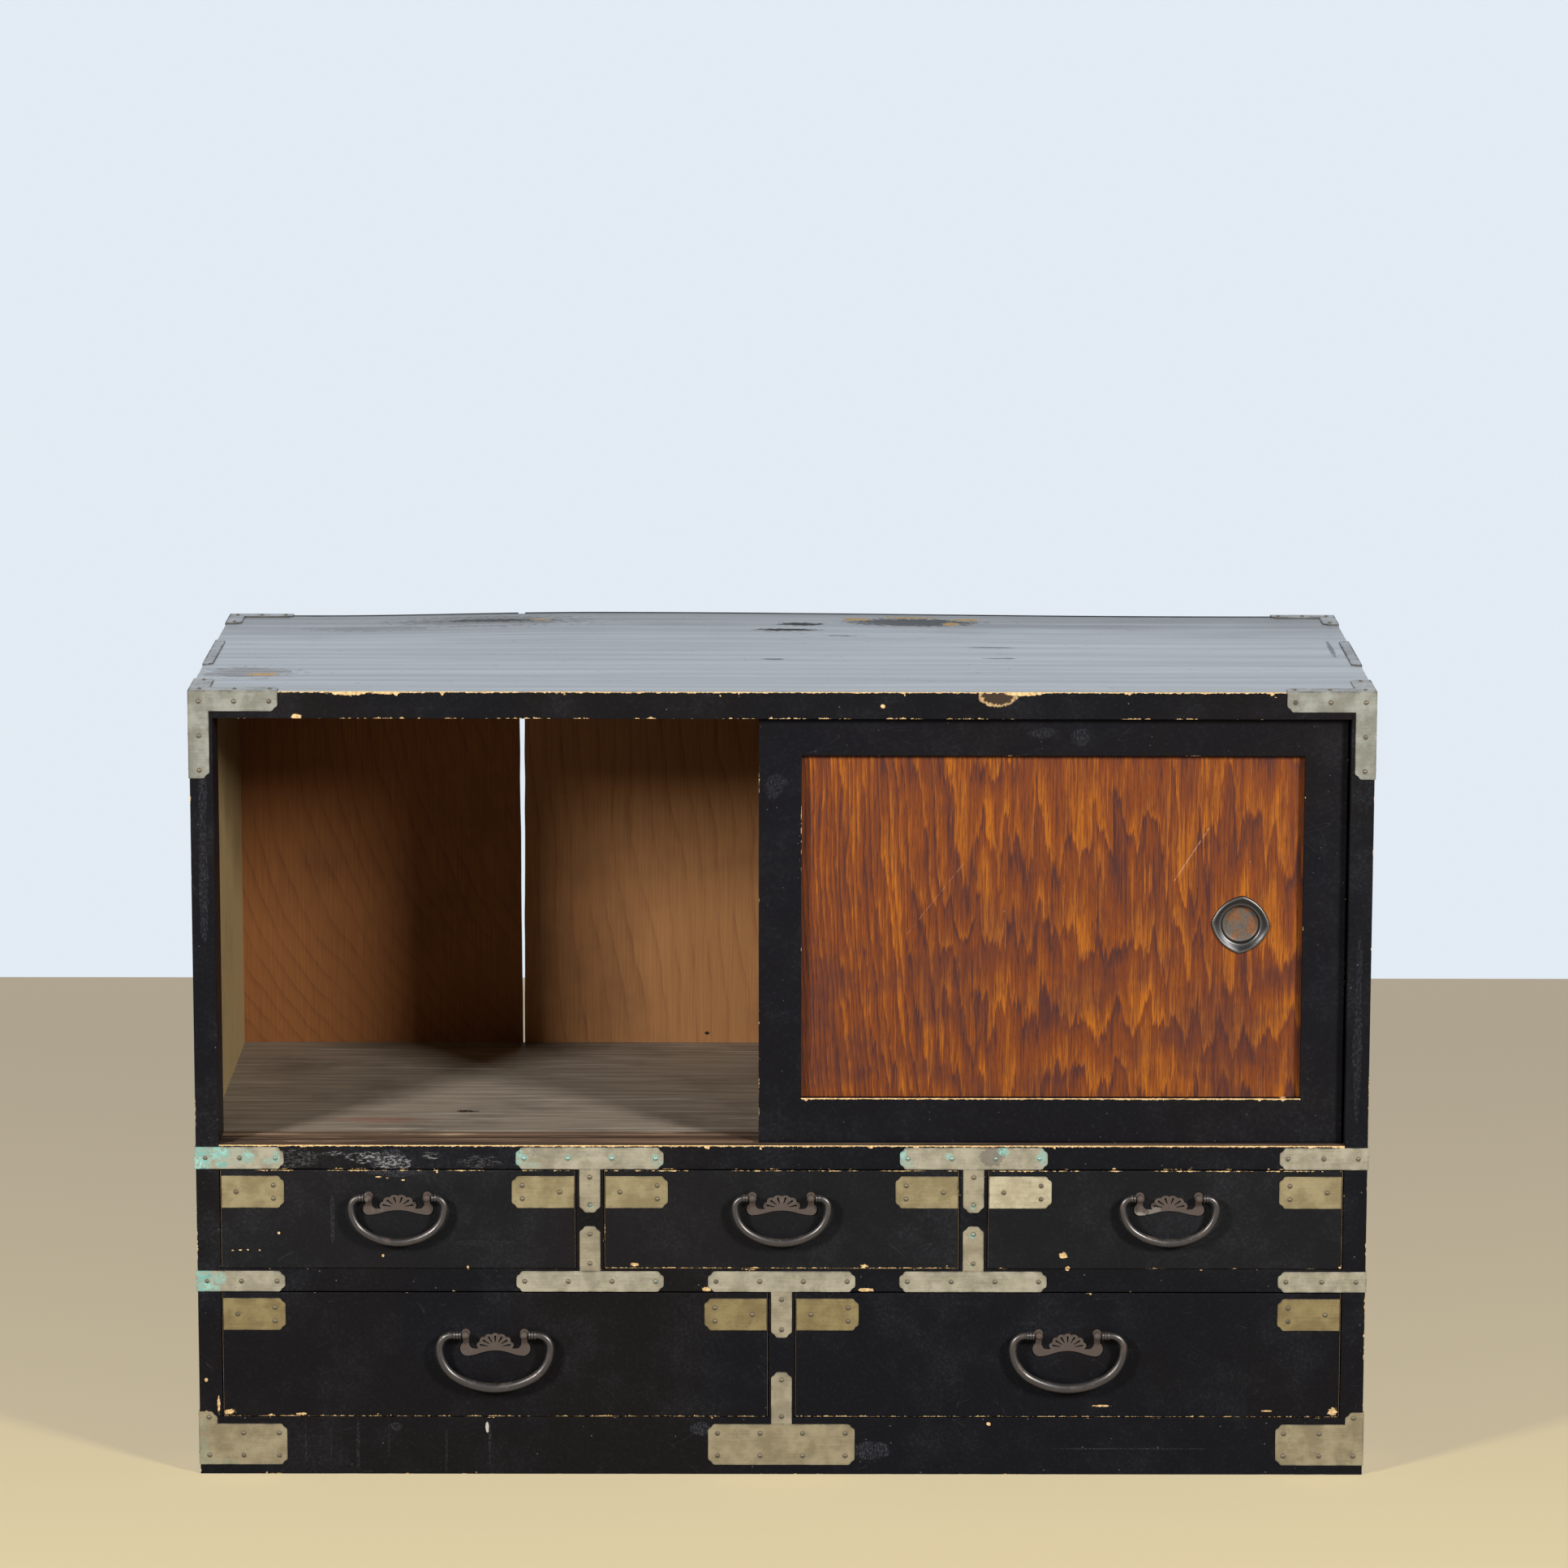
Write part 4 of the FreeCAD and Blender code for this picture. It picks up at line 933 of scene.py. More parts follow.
@dataclass(frozen=True)
class Iron(Finish):
    """Forged iron, from polished by hands to rusty brown."""

    metal: Colour = (0.13, 0.12, 0.115)
    rust: Colour = (0.085, 0.052, 0.034)
    rust_share: float = 0.25
    metallic: float = 0.85
    roughness: float = 0.36
    worn: Colour = (0.42, 0.38, 0.33)

    def paint(self, graph: Graph, place: Socket, shader: bpy.types.Node) -> None:
        """Dark metal with rust in its hollows; worn spots are brighter."""
        cloud = graph.noise(place, 9.0, 4.0, 0.62, 1.9)
        fine = graph.noise(place, 1.1, 3.0, 0.65, 6.3)
        low = 0.86 - 0.62 * self.rust_share
        rust = graph.ramp(graph.add(graph.times(cloud, 0.7), graph.times(fine, 0.3)), low - 0.2, low)
        worn = self.marked(MarkKind.RUB, graph, place, fine)
        colour = self.metal
        if worn != 0.0:
            rust = graph.times(rust, graph.less(1.0, graph.times(worn, 0.85)))
            colour = graph.mix(worn, colour, self.worn)
        colour = graph.mix(rust, colour, self.rust)
        height = graph.add(graph.times(fine, 0.05), graph.times(cloud, 0.14))
        graph.feed_all(shader, {
            "Base Color": colour, "Metallic": graph.between(rust, self.metallic, 0.1),
            "Roughness": graph.between(rust, self.roughness, 0.72), "Normal": graph.bump(height, 0.5)})


@dataclass(frozen=True)
class PullMetal(Finish):
    """The finger pull: dark polished rim, and a dish floor that is stained grey, tan and orange."""

    def paint(self, graph: Graph, place: Socket, shader: bpy.types.Node) -> None:
        """The vertices say where the dish's floor lies and where a highlight is painted on the rim's ridges.
        """
        dish = graph.value_of("dish")
        crest = graph.value_of("crest")
        fine = graph.noise(place, 1.6, 3.0, 0.65, 6.3)
        cloud = graph.noise(place, 6.5, 3.0, 0.6, 2.7)
        # Painted highlight: the dark rim metal turns brighter along its ridges.
        metal = graph.mix(crest, (0.035, 0.035, 0.037), (0.20, 0.195, 0.19))
        stained = graph.mix(graph.ramp(cloud, 0.42, 0.62), (0.130, 0.118, 0.098), (0.235, 0.098, 0.038))
        stained = graph.mix(graph.ramp(fine, 0.42, 0.68, 0.0, 0.5), stained, (0.06, 0.055, 0.05))
        colour = graph.mix(dish, metal, stained)
        graph.feed_all(shader, {
            "Base Color": colour, "Metallic": graph.between(dish, 0.9, 0.3),
            "Roughness": graph.between(dish, 0.38, 0.55),
            "Normal": graph.bump(graph.times(graph.add(fine, cloud), 0.05), 0.6)})


Rows = tuple[tuple[float, ...], ...]


def front_marks(kind: MarkKind, rows: Rows, y: float = FRONT_FACE) -> tuple[Mark, ...]:
    """Marks on a front from rows of x, z, half width, half height and, if given, raggedness and strength."""
    return tuple(Mark(kind, (x, y, z), (wide, 14.0, high), *rest) for x, z, wide, high, *rest in rows)


def top_marks(kind: MarkKind, rows: Rows) -> tuple[Mark, ...]:
    """Marks on the top from rows of x, y, half width, half depth and, if given, raggedness and strength."""
    return tuple(Mark(kind, (x, y, TOP_FACE), (wide, deep, 6.0), *rest) for x, y, wide, deep, *rest in rows)


FRONT_CHIPS = front_marks(MarkKind.CHIP, (
    (-391, 194, 1.1, 1.1, 0.8), (-310, 176, 1.0, 1.2, 0.8), (219, 176.5, 2.9, 2.5, 2.0),
    (250, 55.5, 7.0, 0.8, 2.2), (162, 41, 1.7, 1.5, 1.4), (-431, 50, 4.2, 2.2, 2.4),
    (-439.5, 57, 1.1, 7.0, 2.2), (-375, 48.5, 4.5, 1.0, 2.2), (431, 51, 3.6, 2.8, 2.2),
    (379, 51.5, 4.5, 0.6, 2.2), (-58, 149.5, 3.6, 1.7, 2.2), (66, 149, 5.5, 1.5, 2.4),
    (-114, 169, 3.4, 1.3, 2.2), (64, 168, 3.2, 1.2, 2.2), (-427, 180, 1.0, 0.5, 1.2),
    (-421, 180.3, 1.4, 0.5, 1.4), (-415, 180.5, 0.8, 0.5, 1.2), (-406, 180.2, 0.8, 0.6, 1.0),
    (-449, 76, 1.2, 1.6, 1.2), (-449, 50, 1.2, 1.0, 1.2), (-313, 239, 2.6, 0.5, 2.4),
    (-306, 238, 1.5, 0.5, 2.4), (-294, 236.5, 1.4, 0.5, 2.4), (77, 610, 1.8, 1.6, 0.8),
    (-372, 601.5, 4.0, 2.2, 1.4), (-332, 620, 14, 1.9, 2.0), (-304, 620.5, 12, 1.6, 2.0)))
FRONT_SMUDGES = front_marks(MarkKind.SMUDGE, (
    (-4, 547, 12, 9, 3.0, 0.3), (231, 584, 11, 13, 3.0, 0.35), (200, 588, 17, 6, 3.2, 0.3),
    (-304, 254, 22, 9, 3.2, 0.6), (-290, 243, 28, 4, 3.2, 0.6), (-349, 207, 1.6, 19, 2.6, 0.45),
    (-222, 182, 9, 8, 2.4, 0.15), (-197, 249, 16, 3, 3.0, 0.8), (-445, 500, 3, 60, 3.2, 0.35),
    (445, 360, 3, 70, 3.2, 0.3), (-63, 38, 8, 5, 2.8, 0.6), (-228, 186, 30, 3, 3.0, 0.2),
    (-302, 38, 5, 4, 2.8, 0.4), (-372, 24, 1.2, 20, 1.8, 0.35), (-352, 26, 1.0, 17, 1.8, 0.3),
    (-331, 22, 1.4, 22, 1.8, 0.35), (-307, 28, 1.0, 14, 1.8, 0.3), (-228, 24, 1.2, 20, 1.8, 0.4),
    (-262, 20, 1.0, 18, 1.8, 0.25), (268, 21, 52, 0.6, 2.0, 0.5), (69, 19, 12, 6, 3.0, 0.6)))
FRONT_SCRAPES = front_marks(MarkKind.RUB, (
    (-322, 255, 26, 6, 2.6, 0.85), (-298, 251, 22, 7, 2.6, 1.0), (-272, 256, 12, 4, 2.6, 0.7),
    (-345, 258, 14, 3, 2.6, 0.5), (-385, 254, 34, 9, 2.6, 0.2), (-232, 251, 26, 6, 2.6, 0.2)))
OLD_DRIP = front_marks(MarkKind.PAINT, ((-230, 38, 1.3, 4.6, 1.0),))
BOWL = (Mark(MarkKind.STAIN, (165, FRONT_FACE, 617.5), (13, 9, 8), 0.5),
        Mark(MarkKind.RIM, (165, FRONT_FACE, 618.5), (14.5, 9, 8.5), 0.6, 0.6),
        Mark(MarkKind.CHIP, (184, FRONT_FACE, 620.0), (14, 9, 1.9), 1.4))
FRONT_LACQUER = Lacquer("front lacquer", Slot.LACQUER,
                        marks=FRONT_CHIPS + FRONT_SMUDGES + FRONT_SCRAPES + OLD_DRIP)
UPPER_LACQUER = Lacquer("upper drawer lacquer", Slot.LACQUER, film=(0.0108, 0.0110, 0.0124),
                        warm=(0.0118, 0.0108, 0.0114), haze_share=0.17, marks=FRONT_CHIPS + FRONT_SMUDGES)
CROWN_LACQUER = Lacquer("front lacquer of the top board", Slot.LACQUER, marks=FRONT_CHIPS[-4:] + BOWL)
SIDE_LACQUER = Lacquer("side lacquer", Slot.LACQUER, haze_share=0.16, grain=(2.2, 2.2, 160.0))
POST_LACQUER = Lacquer("post lacquer", Slot.LACQUER, haze_share=0.2, grain=(2.2, 2.2, 160.0),
                       marks=FRONT_CHIPS + FRONT_SMUDGES)
DOOR_CHIPS = front_marks(MarkKind.CHIP, ((389, 302.5, 3.2, 4.2, 1.6),), y=DOOR_FACE)
DOOR_LACQUER = Lacquer("door lacquer", Slot.LACQUER, film=(0.0070, 0.0066, 0.0090), haze_share=0.09,
                       marks=FRONT_SMUDGES + DOOR_CHIPS)
INNER_LACQUER = Lacquer("inner lacquer", Slot.LACQUER, wear=False, haze_share=0.2, roughness=0.55, coat=0.0)
# The top's blue-grey film and haze are partly dust and partly painted sheen, colour that stands for the pale
# wall's reflection.
TOP_LACQUER = TopLacquer(
    "top lacquer", Slot.LACQUER, film=(0.064, 0.076, 0.088), haze=(0.098, 0.118, 0.136),
    warm=(0.030, 0.024, 0.021), roughness=0.30, coat=1.0, marks=top_marks(MarkKind.RUB, (
        (-414, -98, 34, 26, 3.0, 0.8), (-235, 148, 80, 26, 3.0, 0.7), (-330, 120, 50, 14, 3.2, 0.5),
    )) + top_marks(MarkKind.CHIP, (
        (-404, -106, 12, 7, 2.8, 0.9), (60, 161, 12, 7, 2.8), (105, 172, 24, 4, 2.8),
        (150, 163, 11, 6, 2.8), (138, 141, 7, 8, 2.8), (-198, 155, 9, 4, 2.8),
    )) + top_marks(MarkKind.STAIN, (
        (14, 134, 19, 8, 2.6), (3, 106, 26, 6, 2.6), (104, 148, 54, 19, 2.2, 0.7),
        (47, 78, 12, 3.5, 3.2, 0.5), (-7, -33, 9, 3.5, 3.2, 0.6), (165, 26, 20, 3, 3.4, 0.5),
        (172, -27, 13, 2.5, 3.2, 0.6), (-232, 152, 44, 8, 3.2, 0.8), (438, 23, 2.0, 40, 2.2, 0.5))))
BACK_LEFT_WOOD = BoardWood("left back board wood", Slot.BARE_WOOD, pitch=11.5, fan_middle=-462.0, fan=0.42,
                           bend=4.4, curve=1.1, line_depth=0.5, early=(0.325, 0.126, 0.038),
                           late=(0.150, 0.050, 0.018), grime=(0.085, 0.032, 0.018))
BACK_RIGHT_WOOD = BoardWood("right back board wood", Slot.BARE_WOOD, pitch=14.0, fan_middle=-500.0,
                            fan=0.05, bend=4.6, line_depth=0.52, early=(0.45, 0.212, 0.078),
                            late=(0.225, 0.082, 0.034), grime=(0.11, 0.045, 0.026),
                            marks=(Mark(MarkKind.STAIN, (-62, 186, 270), (2, 8, 1.4), 1.0),))
INNER_WALL_WOOD = BoardWood("inner wall wood", Slot.BARE_WOOD, early=(0.36, 0.265, 0.125),
                            late=(0.24, 0.16, 0.075), grime_share=0.25, along=2, pitch=22.0, line_depth=0.3)
FLOOR_WOOD = BoardWood("cupboard floor wood", Slot.BARE_WOOD, early=(0.32, 0.275, 0.215),
                       late=(0.19, 0.155, 0.12), grime=(0.085, 0.07, 0.058), along=0, pitch=31.0,
                       line_depth=0.35, grime_share=0.55, fibre_length=130.0, fibre_width=6.5,
                       fibre_depth=0.75, pale=(0.48, 0.44, 0.38), pale_share=0.8, marks=(
                           Mark(MarkKind.RUB, (-316, -92, 262), (34, 8, 6), 3.4, 0.42),
                           Mark(MarkKind.STAIN, (-250, -62, 262), (7, 3.0, 6), 3.6)))
TRACK_WOOD = BoardWood("worn door track", Slot.BARE_WOOD, early=(0.19, 0.118, 0.076),
                       late=(0.035, 0.022, 0.017), grime=(0.03, 0.022, 0.018), along=0, pitch=14.0,
                       bend=0.7, line_depth=0.7, grime_share=0.45, pale=(0.46, 0.33, 0.21), pale_share=0.7,
                       fibre_length=420.0, fibre_width=7.5, fibre_depth=1.0)
DRAWER_WOOD = BoardWood("drawer wood", Slot.BARE_WOOD, early=(0.50, 0.33, 0.17), late=(0.33, 0.19, 0.085),
                        along=1, pitch=9.0, bend=2.4, line_depth=0.4, grime_share=0.2,
                        grime=(0.2, 0.13, 0.075))
HIDDEN_WOOD = BoardWood("carcass wood", Slot.BARE_WOOD, early=(0.40, 0.24, 0.11), late=(0.25, 0.13, 0.06),
                        along=0, pitch=14.0, line_depth=0.4, grime_share=0.35)
DOOR_PANEL = FiguredPanel("door panel", Slot.PANEL, scratches=(
    ((329, -169, 512), (303, -169, 471), 1.0), ((140, -169, 484), (97, -169, 429), 0.35)))
REAR_PANEL = FiguredPanel("rear door panel", Slot.PANEL, shift=37.0)

VERDIGRIS = tuple(Mark(MarkKind.VERDIGRIS, (x, PLATE_FACE, z), (wide, 12.0, high), 2.2, strength)
                  for x, z, wide, high, strength in (
    (-450, 254, 8, 14, 1.0), (-437, 258, 9, 6, 1.0), (-434, 249, 6, 3, 0.9), (-414, 255, 6, 5, 0.75),
    (-398, 252, 5, 3, 0.5), (-392, 255, 3.2, 6, 0.6), (-422, 256, 14, 8, 0.25), (-450, 157, 8, 12, 1.0),
    (-437, 158, 5, 5, 0.8), (-443, 150, 8, 3, 0.7), (-205, 256, 5, 8, 0.7), (-200, 255, 2.6, 2.6, 0.9),
    (-166, 255, 2.4, 2.4, 0.8), (-132, 255, 2.4, 2.4, 0.85), (-98, 255, 2.8, 2.8, 0.8),
    (-96, 250, 6, 3, 0.35), (-196, 249, 12, 2.5, 0.3), (93, 256, 4, 9, 0.75), (98, 250, 6, 3, 0.4),
    (130, 256, 3.6, 3.2, 0.6), (172, 260, 4.5, 3.6, 1.0), (203, 256, 3.2, 8, 0.7), (200, 255, 3, 3, 0.7),
    (148, 215, 1.8, 1.8, 0.8), (148, 192, 1.9, 1.9, 0.8), (148, 169, 1.8, 1.8, 0.7), (-148, 215, 2, 2, 0.5),
    (-452, 17, 5, 14, 0.18), (-440, 10, 16, 2, 0.16), (-452, 40, 5, 6, 0.12)))
PLATE_STAINS = (Mark(MarkKind.STAIN, (163, PLATE_FACE, 256), (10, 12, 8), 1.4, 0.9),
                Mark(MarkKind.STAIN, (-170, PLATE_FACE, 258), (30, 9, 4), 2.6, 0.35))
NICKEL = SheetMetal("nickel silver", Slot.NICKEL, marks=VERDIGRIS + PLATE_STAINS)
DIVIDER_NICKEL = SheetMetal("nickel silver on the dividers", Slot.NICKEL, bright=(0.455, 0.395, 0.27),
                            dull=(0.315, 0.268, 0.178), marks=VERDIGRIS)
BRACKET_NICKEL = SheetMetal("nickel silver brackets", Slot.NICKEL, bright=(0.37, 0.37, 0.315),
                            dull=(0.24, 0.235, 0.19))
BASE_NICKEL = SheetMetal("nickel silver at the base", Slot.NICKEL, bright=(0.42, 0.352, 0.215),
                         dull=(0.29, 0.235, 0.135), marks=VERDIGRIS)
# Copies of the nickel silver for the top faces, greyer, brighter and more mirror-like: painted sheen of the
# pale wall.
TOP_SHEEN_NICKEL = SheetMetal("nickel silver on top", Slot.NICKEL, bright=(0.42, 0.41, 0.39),
                        dull=(0.27, 0.26, 0.24), metallic=0.8, roughness=0.36)
REAR_NICKEL = SheetMetal("tarnished nickel silver", Slot.NICKEL, bright=(0.20, 0.195, 0.185),
                         dull=(0.12, 0.115, 0.105), metallic=0.6, roughness=0.4)
# The rear mounts' top faces: a brighter copy of the tarnished metal, painted sheen of the pale wall.
REAR_TOP_SHEEN_NICKEL = SheetMetal("tarnished nickel silver on top", Slot.NICKEL, bright=(0.36, 0.365, 0.37),
                             dull=(0.24, 0.24, 0.24), dirt=(0.06, 0.055, 0.05), metallic=0.85,
                             roughness=0.34)
BRASS = SheetMetal("pale brass", Slot.BRASS, bright=(0.41, 0.335, 0.18), dull=(0.29, 0.23, 0.115),
                   dirt=(0.08, 0.06, 0.034))
BRASS_DARK = SheetMetal("dull pale brass", Slot.BRASS, bright=(0.335, 0.258, 0.115),
                        dull=(0.235, 0.175, 0.073), dirt=(0.07, 0.053, 0.03))
BRASS_BRIGHT = SheetMetal("rubbed pale brass", Slot.BRASS, bright=(0.64, 0.57, 0.39),
                          dull=(0.48, 0.41, 0.26), dirt=(0.12, 0.10, 0.06))
NAIL_METAL = Iron("nail metal", Slot.NAIL, metal=(0.215, 0.18, 0.122), rust=(0.10, 0.072, 0.045),
                  rust_share=0.3, metallic=0.6, roughness=0.45, worn=(0.36, 0.56, 0.50),
                  marks=front_marks(MarkKind.RUB, tuple(
                      (x, z, 3.0, 3.0, 0.8, strength) for x, z, strength in (
                          (-200, 255, 0.9), (-166, 255, 0.8), (-132, 255, 0.8), (-98, 255, 0.9),
                          (98, 255, 0.6), (132, 255, 0.7), (166, 255, 0.5), (200, 255, 0.8),
                          (-148, 215, 0.7), (148, 215, 0.6), (148, 192, 0.6), (-436, 255, 0.5),
                          (-392, 255, 0.5), (-98, 157, 0.3)))))
BAIL_IRON = Iron("polished bail iron", Slot.IRON)
PLATE_IRON = Iron("rusted plate iron", Slot.IRON, metal=(0.160, 0.137, 0.120), rust=(0.090, 0.066, 0.052),
                  rust_share=0.62, metallic=0.35, roughness=0.5, marks=(
                      Mark(MarkKind.RUB, (276, FRONT_FACE, 207), (9, 6, 5), 2.2, 0.9),
                      Mark(MarkKind.RUB, (290, FRONT_FACE, 212), (5, 6, 4), 2.2, 0.6),
                      Mark(MarkKind.RUB, (-323, -190, 222), (3.5, 8, 4), 1.4, 0.8)))
PULL_METAL = PullMetal("pull metal", Slot.IRON)


# Boards


def box_mm(node: str) -> tuple[np.ndarray, np.ndarray]:
    """The low and the high corner of a CAD node's box, in millimetres."""
    low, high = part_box(node)
    return np.array(low) / MM, np.array(high) / MM


@dataclass(frozen=True)
class Wear:
    """Wear along the edge where two sides meet: how wide it reaches and how much of the edge it covers."""

    first: Side
    second: Side
    reach: float
    cover: float


@dataclass
class Block:
    """A box of wood with softened edges, in millimetres."""

    low: np.ndarray
    high: np.ndarray
    step: float = 5.0
    radius: float = 0.45
    chip: float = 0.5
    wear: tuple[Wear, ...] = ()
    faces: dict[Side, int] = field(default_factory=dict)
    flush: tuple[Side, ...] = ()
    seed: int = 1

    @staticmethod
    def of_node(node: str, **options: object) -> "Block":
        """A block that fills a CAD node's box."""
        return Block(*box_mm(node), **options)

    def shell(self) -> Shell:
        """The block's surface: a gridded box, rounded towards its edges by a radius that noise makes uneven.

        A point p near an edge moves to q + r (p - q) / |p - q|, where q is p held in the box shrunk by r.
        Sides that lie flush against a neighbour aren't shrunk, so that no groove opens there.

        Returns:
            The shell, with the edge, reach and cover values that the worn finishes read.
        """
        axes = [stations(self.low[a], self.high[a], self.step) for a in range(3)]
        points, quads, sides = tensor_box(*axes)
        near, reach, cover = self.worn_edges(points)
        rough = lattice_noise(points, (9.0, 9.0, 9.0), self.seed)
        deep = self.chip * smoothstep(0.55, 0.9, rough) * (0.4 + cover)
        room = (self.high - self.low).min() * 0.45
        radius = np.minimum(self.radius + deep, room)[:, None]
        free = np.ones((3, 2))
        for side in self.flush:
            free[side.value] = 0.0
        held = np.clip(points, self.low + radius * free[:, 0], self.high - radius * free[:, 1])
        away = points - held
        length = np.maximum(np.linalg.norm(away, axis=1, keepdims=True), 1e-9)
        rounded = held + away / length * radius
        finish = np.zeros(len(quads), int)
        for side, number in self.faces.items():
            finish[sides == 2 * side.value[0] + side.value[1]] = number
        return Shell(rounded, quads.tolist(), {"edge": near, "reach": reach, "cover": cover}, finish)

    def worn_edges(self, points: np.ndarray) -> tuple[np.ndarray, np.ndarray, np.ndarray]:
        """Each point's distance to the edge whose wear comes nearest, and that wear's reach and cover."""
        best = np.full(len(points), 1e6)
        near, reach, cover = np.full(len(points), FAR_EDGE), np.zeros(len(points)), np.zeros(len(points))
        ends = (self.low, self.high)
        for wear in self.wear:
            (a, end_a), (b, end_b) = wear.first.value, wear.second.value
            gap = np.hypot(points[:, a] - ends[end_a][a], points[:, b] - ends[end_b][b])
            closer = gap / wear.reach < best
            best = np.where(closer, gap / wear.reach, best)
            near = np.where(closer, gap, near)
            reach = np.where(closer, wear.reach, reach)
            cover = np.where(closer, wear.cover, cover)
        return near, reach, cover


def around_front(reach: float, top: float, bottom: float, left: float, right: float,
                 foot_reach: float | None = None) -> tuple[Wear, ...]:
    """Wear round a front face: its reach, each edge's share and, if it differs, the reach at the foot."""
    return (Wear(Side.FRONT, Side.TOP, reach, top),
            Wear(Side.FRONT, Side.BOTTOM, foot_reach or reach, bottom),
            Wear(Side.FRONT, Side.LEFT, reach, left), Wear(Side.FRONT, Side.RIGHT, reach, right))


@dataclass
class Joinery(ABC):
    """A wooden sub-assembly: it builds its pieces and puts each on its body."""

    body: str

    @abstractmethod
    def build(self) -> list[Piece]:
        """Makes the pieces and returns them."""

    def place(self, name: str, shells: list[Shell], finishes: list[Finish],
              nodes: tuple[str, ...]) -> Piece:
        """Turns shells into one piece that rides on the body and stands for CAD nodes.

        Args:
            name: the piece's name.
            shells: its surfaces.
            finishes: its finishes, by number.
            nodes: the CAD nodes that it replaces.

        Returns:
            The piece.
        """
        piece = Shell.joined(shells).as_object(name, finishes)
        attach(piece, self.body)
        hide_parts(*nodes)
        return piece


# Each divider's middle, half width, foot and crown.
DIVIDERS = ((-149.0, 10.5, 165.5, 245.5), (149.0, 10.5, 165.5, 245.5), (0.0, 10.0, 46.0, 147.5))


@dataclass
class Carcass(Joinery):
    """The case: top, sides, posts, rails, dividers and back boards."""

    body: str = "carcass"
    post_width: float = 18.0
    bow: float = 3.2
    bow_middle: float = -150.0
    bow_left: float = 235.0
    bow_right: float = 520.0
    groove_offsets: tuple[float, ...] = (9.5, 32.1)
    groove_width: float = 5.4
    head_groove: float = 6.0
    sill_groove: float = 3.0
    track_depth: float = 3.4
    track_start: float = 1.2
    arris: float = 0.45
    split_x: float = -214.8
    split_width: float = 5.4
    split_foot: float = 141.0

    def build(self) -> list[Piece]:
        """Builds the boards from the top down."""
        made = [self.top(), *self.sides(), self.posts(), self.base(), self.rail(), self.dividers()]
        made += [self.grooved("door_head"), self.grooved("door_sill"), self.back()]
        return made

    def lift(self, x: np.ndarray) -> np.ndarray:
        """How far the rear edge has warped upwards at x: a raised cosine, longer to the right."""
        off = x - self.bow_middle
        share = np.clip(off / np.where(off < 0, self.bow_left, self.bow_right), -1.0, 1.0)
        return self.bow * (0.5 + 0.5 * np.cos(math.pi * share))

    def top(self) -> Piece:
        """The top board, warped upwards at its rear edge."""
        wear = (Wear(Side.FRONT, Side.TOP, 1.5, 1.05), Wear(Side.LEFT, Side.TOP, 1.0, 0.35),
                Wear(Side.RIGHT, Side.TOP, 1.0, 0.35), Wear(Side.BACK, Side.TOP, 1.2, 0.3))
        block = Block.of_node("top_board", step=6.0, radius=0.5, chip=0.9, wear=wear,
                              faces={Side.BOTTOM: 1, Side.FRONT: 2, Side.LEFT: 3, Side.RIGHT: 3},
                              flush=(Side.BOTTOM,), seed=3)
        shell = block.shell()
        depth = smoothstep(-120.0, 186.0, shell.points[:, 1])
        shell.points[:, 2] += self.lift(shell.points[:, 0]) * depth
        return self.place("top", [shell], [TOP_LACQUER, HIDDEN_WOOD, CROWN_LACQUER, SIDE_LACQUER],
                          ("top_board",))

    def sides(self) -> list[Piece]:
        """Both side boards, lacquered outside and plain inside."""
        made = []
        for name, outer, inner in (("left", Side.LEFT, Side.RIGHT), ("right", Side.RIGHT, Side.LEFT)):
            wear = (Wear(outer, Side.BOTTOM, 1.4, 0.5), Wear(outer, Side.BACK, 1.0, 0.4))
            block = Block.of_node(name + "_side_board", step=9.0, wear=wear, faces={inner: 1}, seed=5)
            made.append(self.place(name + "_side", [block.shell()], [SIDE_LACQUER, INNER_WALL_WOOD],
                                   (name + "_side_board",)))
        return made

    def posts(self) -> Piece:
        """The two front posts."""
        low, high = box_mm("front_posts")
        shells = []
        for side, inner, outer in ((0, Side.RIGHT, Side.LEFT), (1, Side.LEFT, Side.RIGHT)):
            a, b = low.copy(), high.copy()
            if side == 0:
                b[0] = low[0] + self.post_width
            else:
                a[0] = high[0] - self.post_width
            wear = (Wear(Side.FRONT, inner, 0.8, 0.2), Wear(Side.FRONT, outer, 1.1, 0.45))
            shells.append(Block(a, b, step=5.0, wear=wear, seed=8 + side).shell())
        return self.place("posts", shells, [POST_LACQUER], ("front_posts",))

    def base(self) -> Piece:
        """The base rail."""
        block = Block.of_node("base_rail", wear=around_front(1.0, 0.3, 0.4, 0.0, 0.0), seed=11,
                              flush=(Side.LEFT, Side.RIGHT))
        return self.place("base", [block.shell()], [FRONT_LACQUER], ("base_rail",))

    def rail(self) -> Piece:
        """The rail between the two rows of drawers."""
        block = Block.of_node("drawer_rail", wear=around_front(1.2, 0.3, 0.12, 0.0, 0.0), seed=12,
                              flush=(Side.LEFT, Side.RIGHT))
        return self.place("rail", [block.shell()], [FRONT_LACQUER], ("drawer_rail",))

    def dividers(self) -> Piece:
        """The three dividers between drawers."""
        low, high = box_mm("drawer_dividers")
        shells = []
        for x, half, foot, crown in DIVIDERS:
            a, b = np.array([x - half, low[1], foot]), np.array([x + half, high[1], crown])
            shells.append(Block(a, b, wear=around_front(0.9, 0.0, 0.0, 0.2, 0.2), seed=14,
                                flush=(Side.TOP, Side.BOTTOM)).shell())
        return self.place("dividers", shells, [FRONT_LACQUER], ("drawer_dividers",))

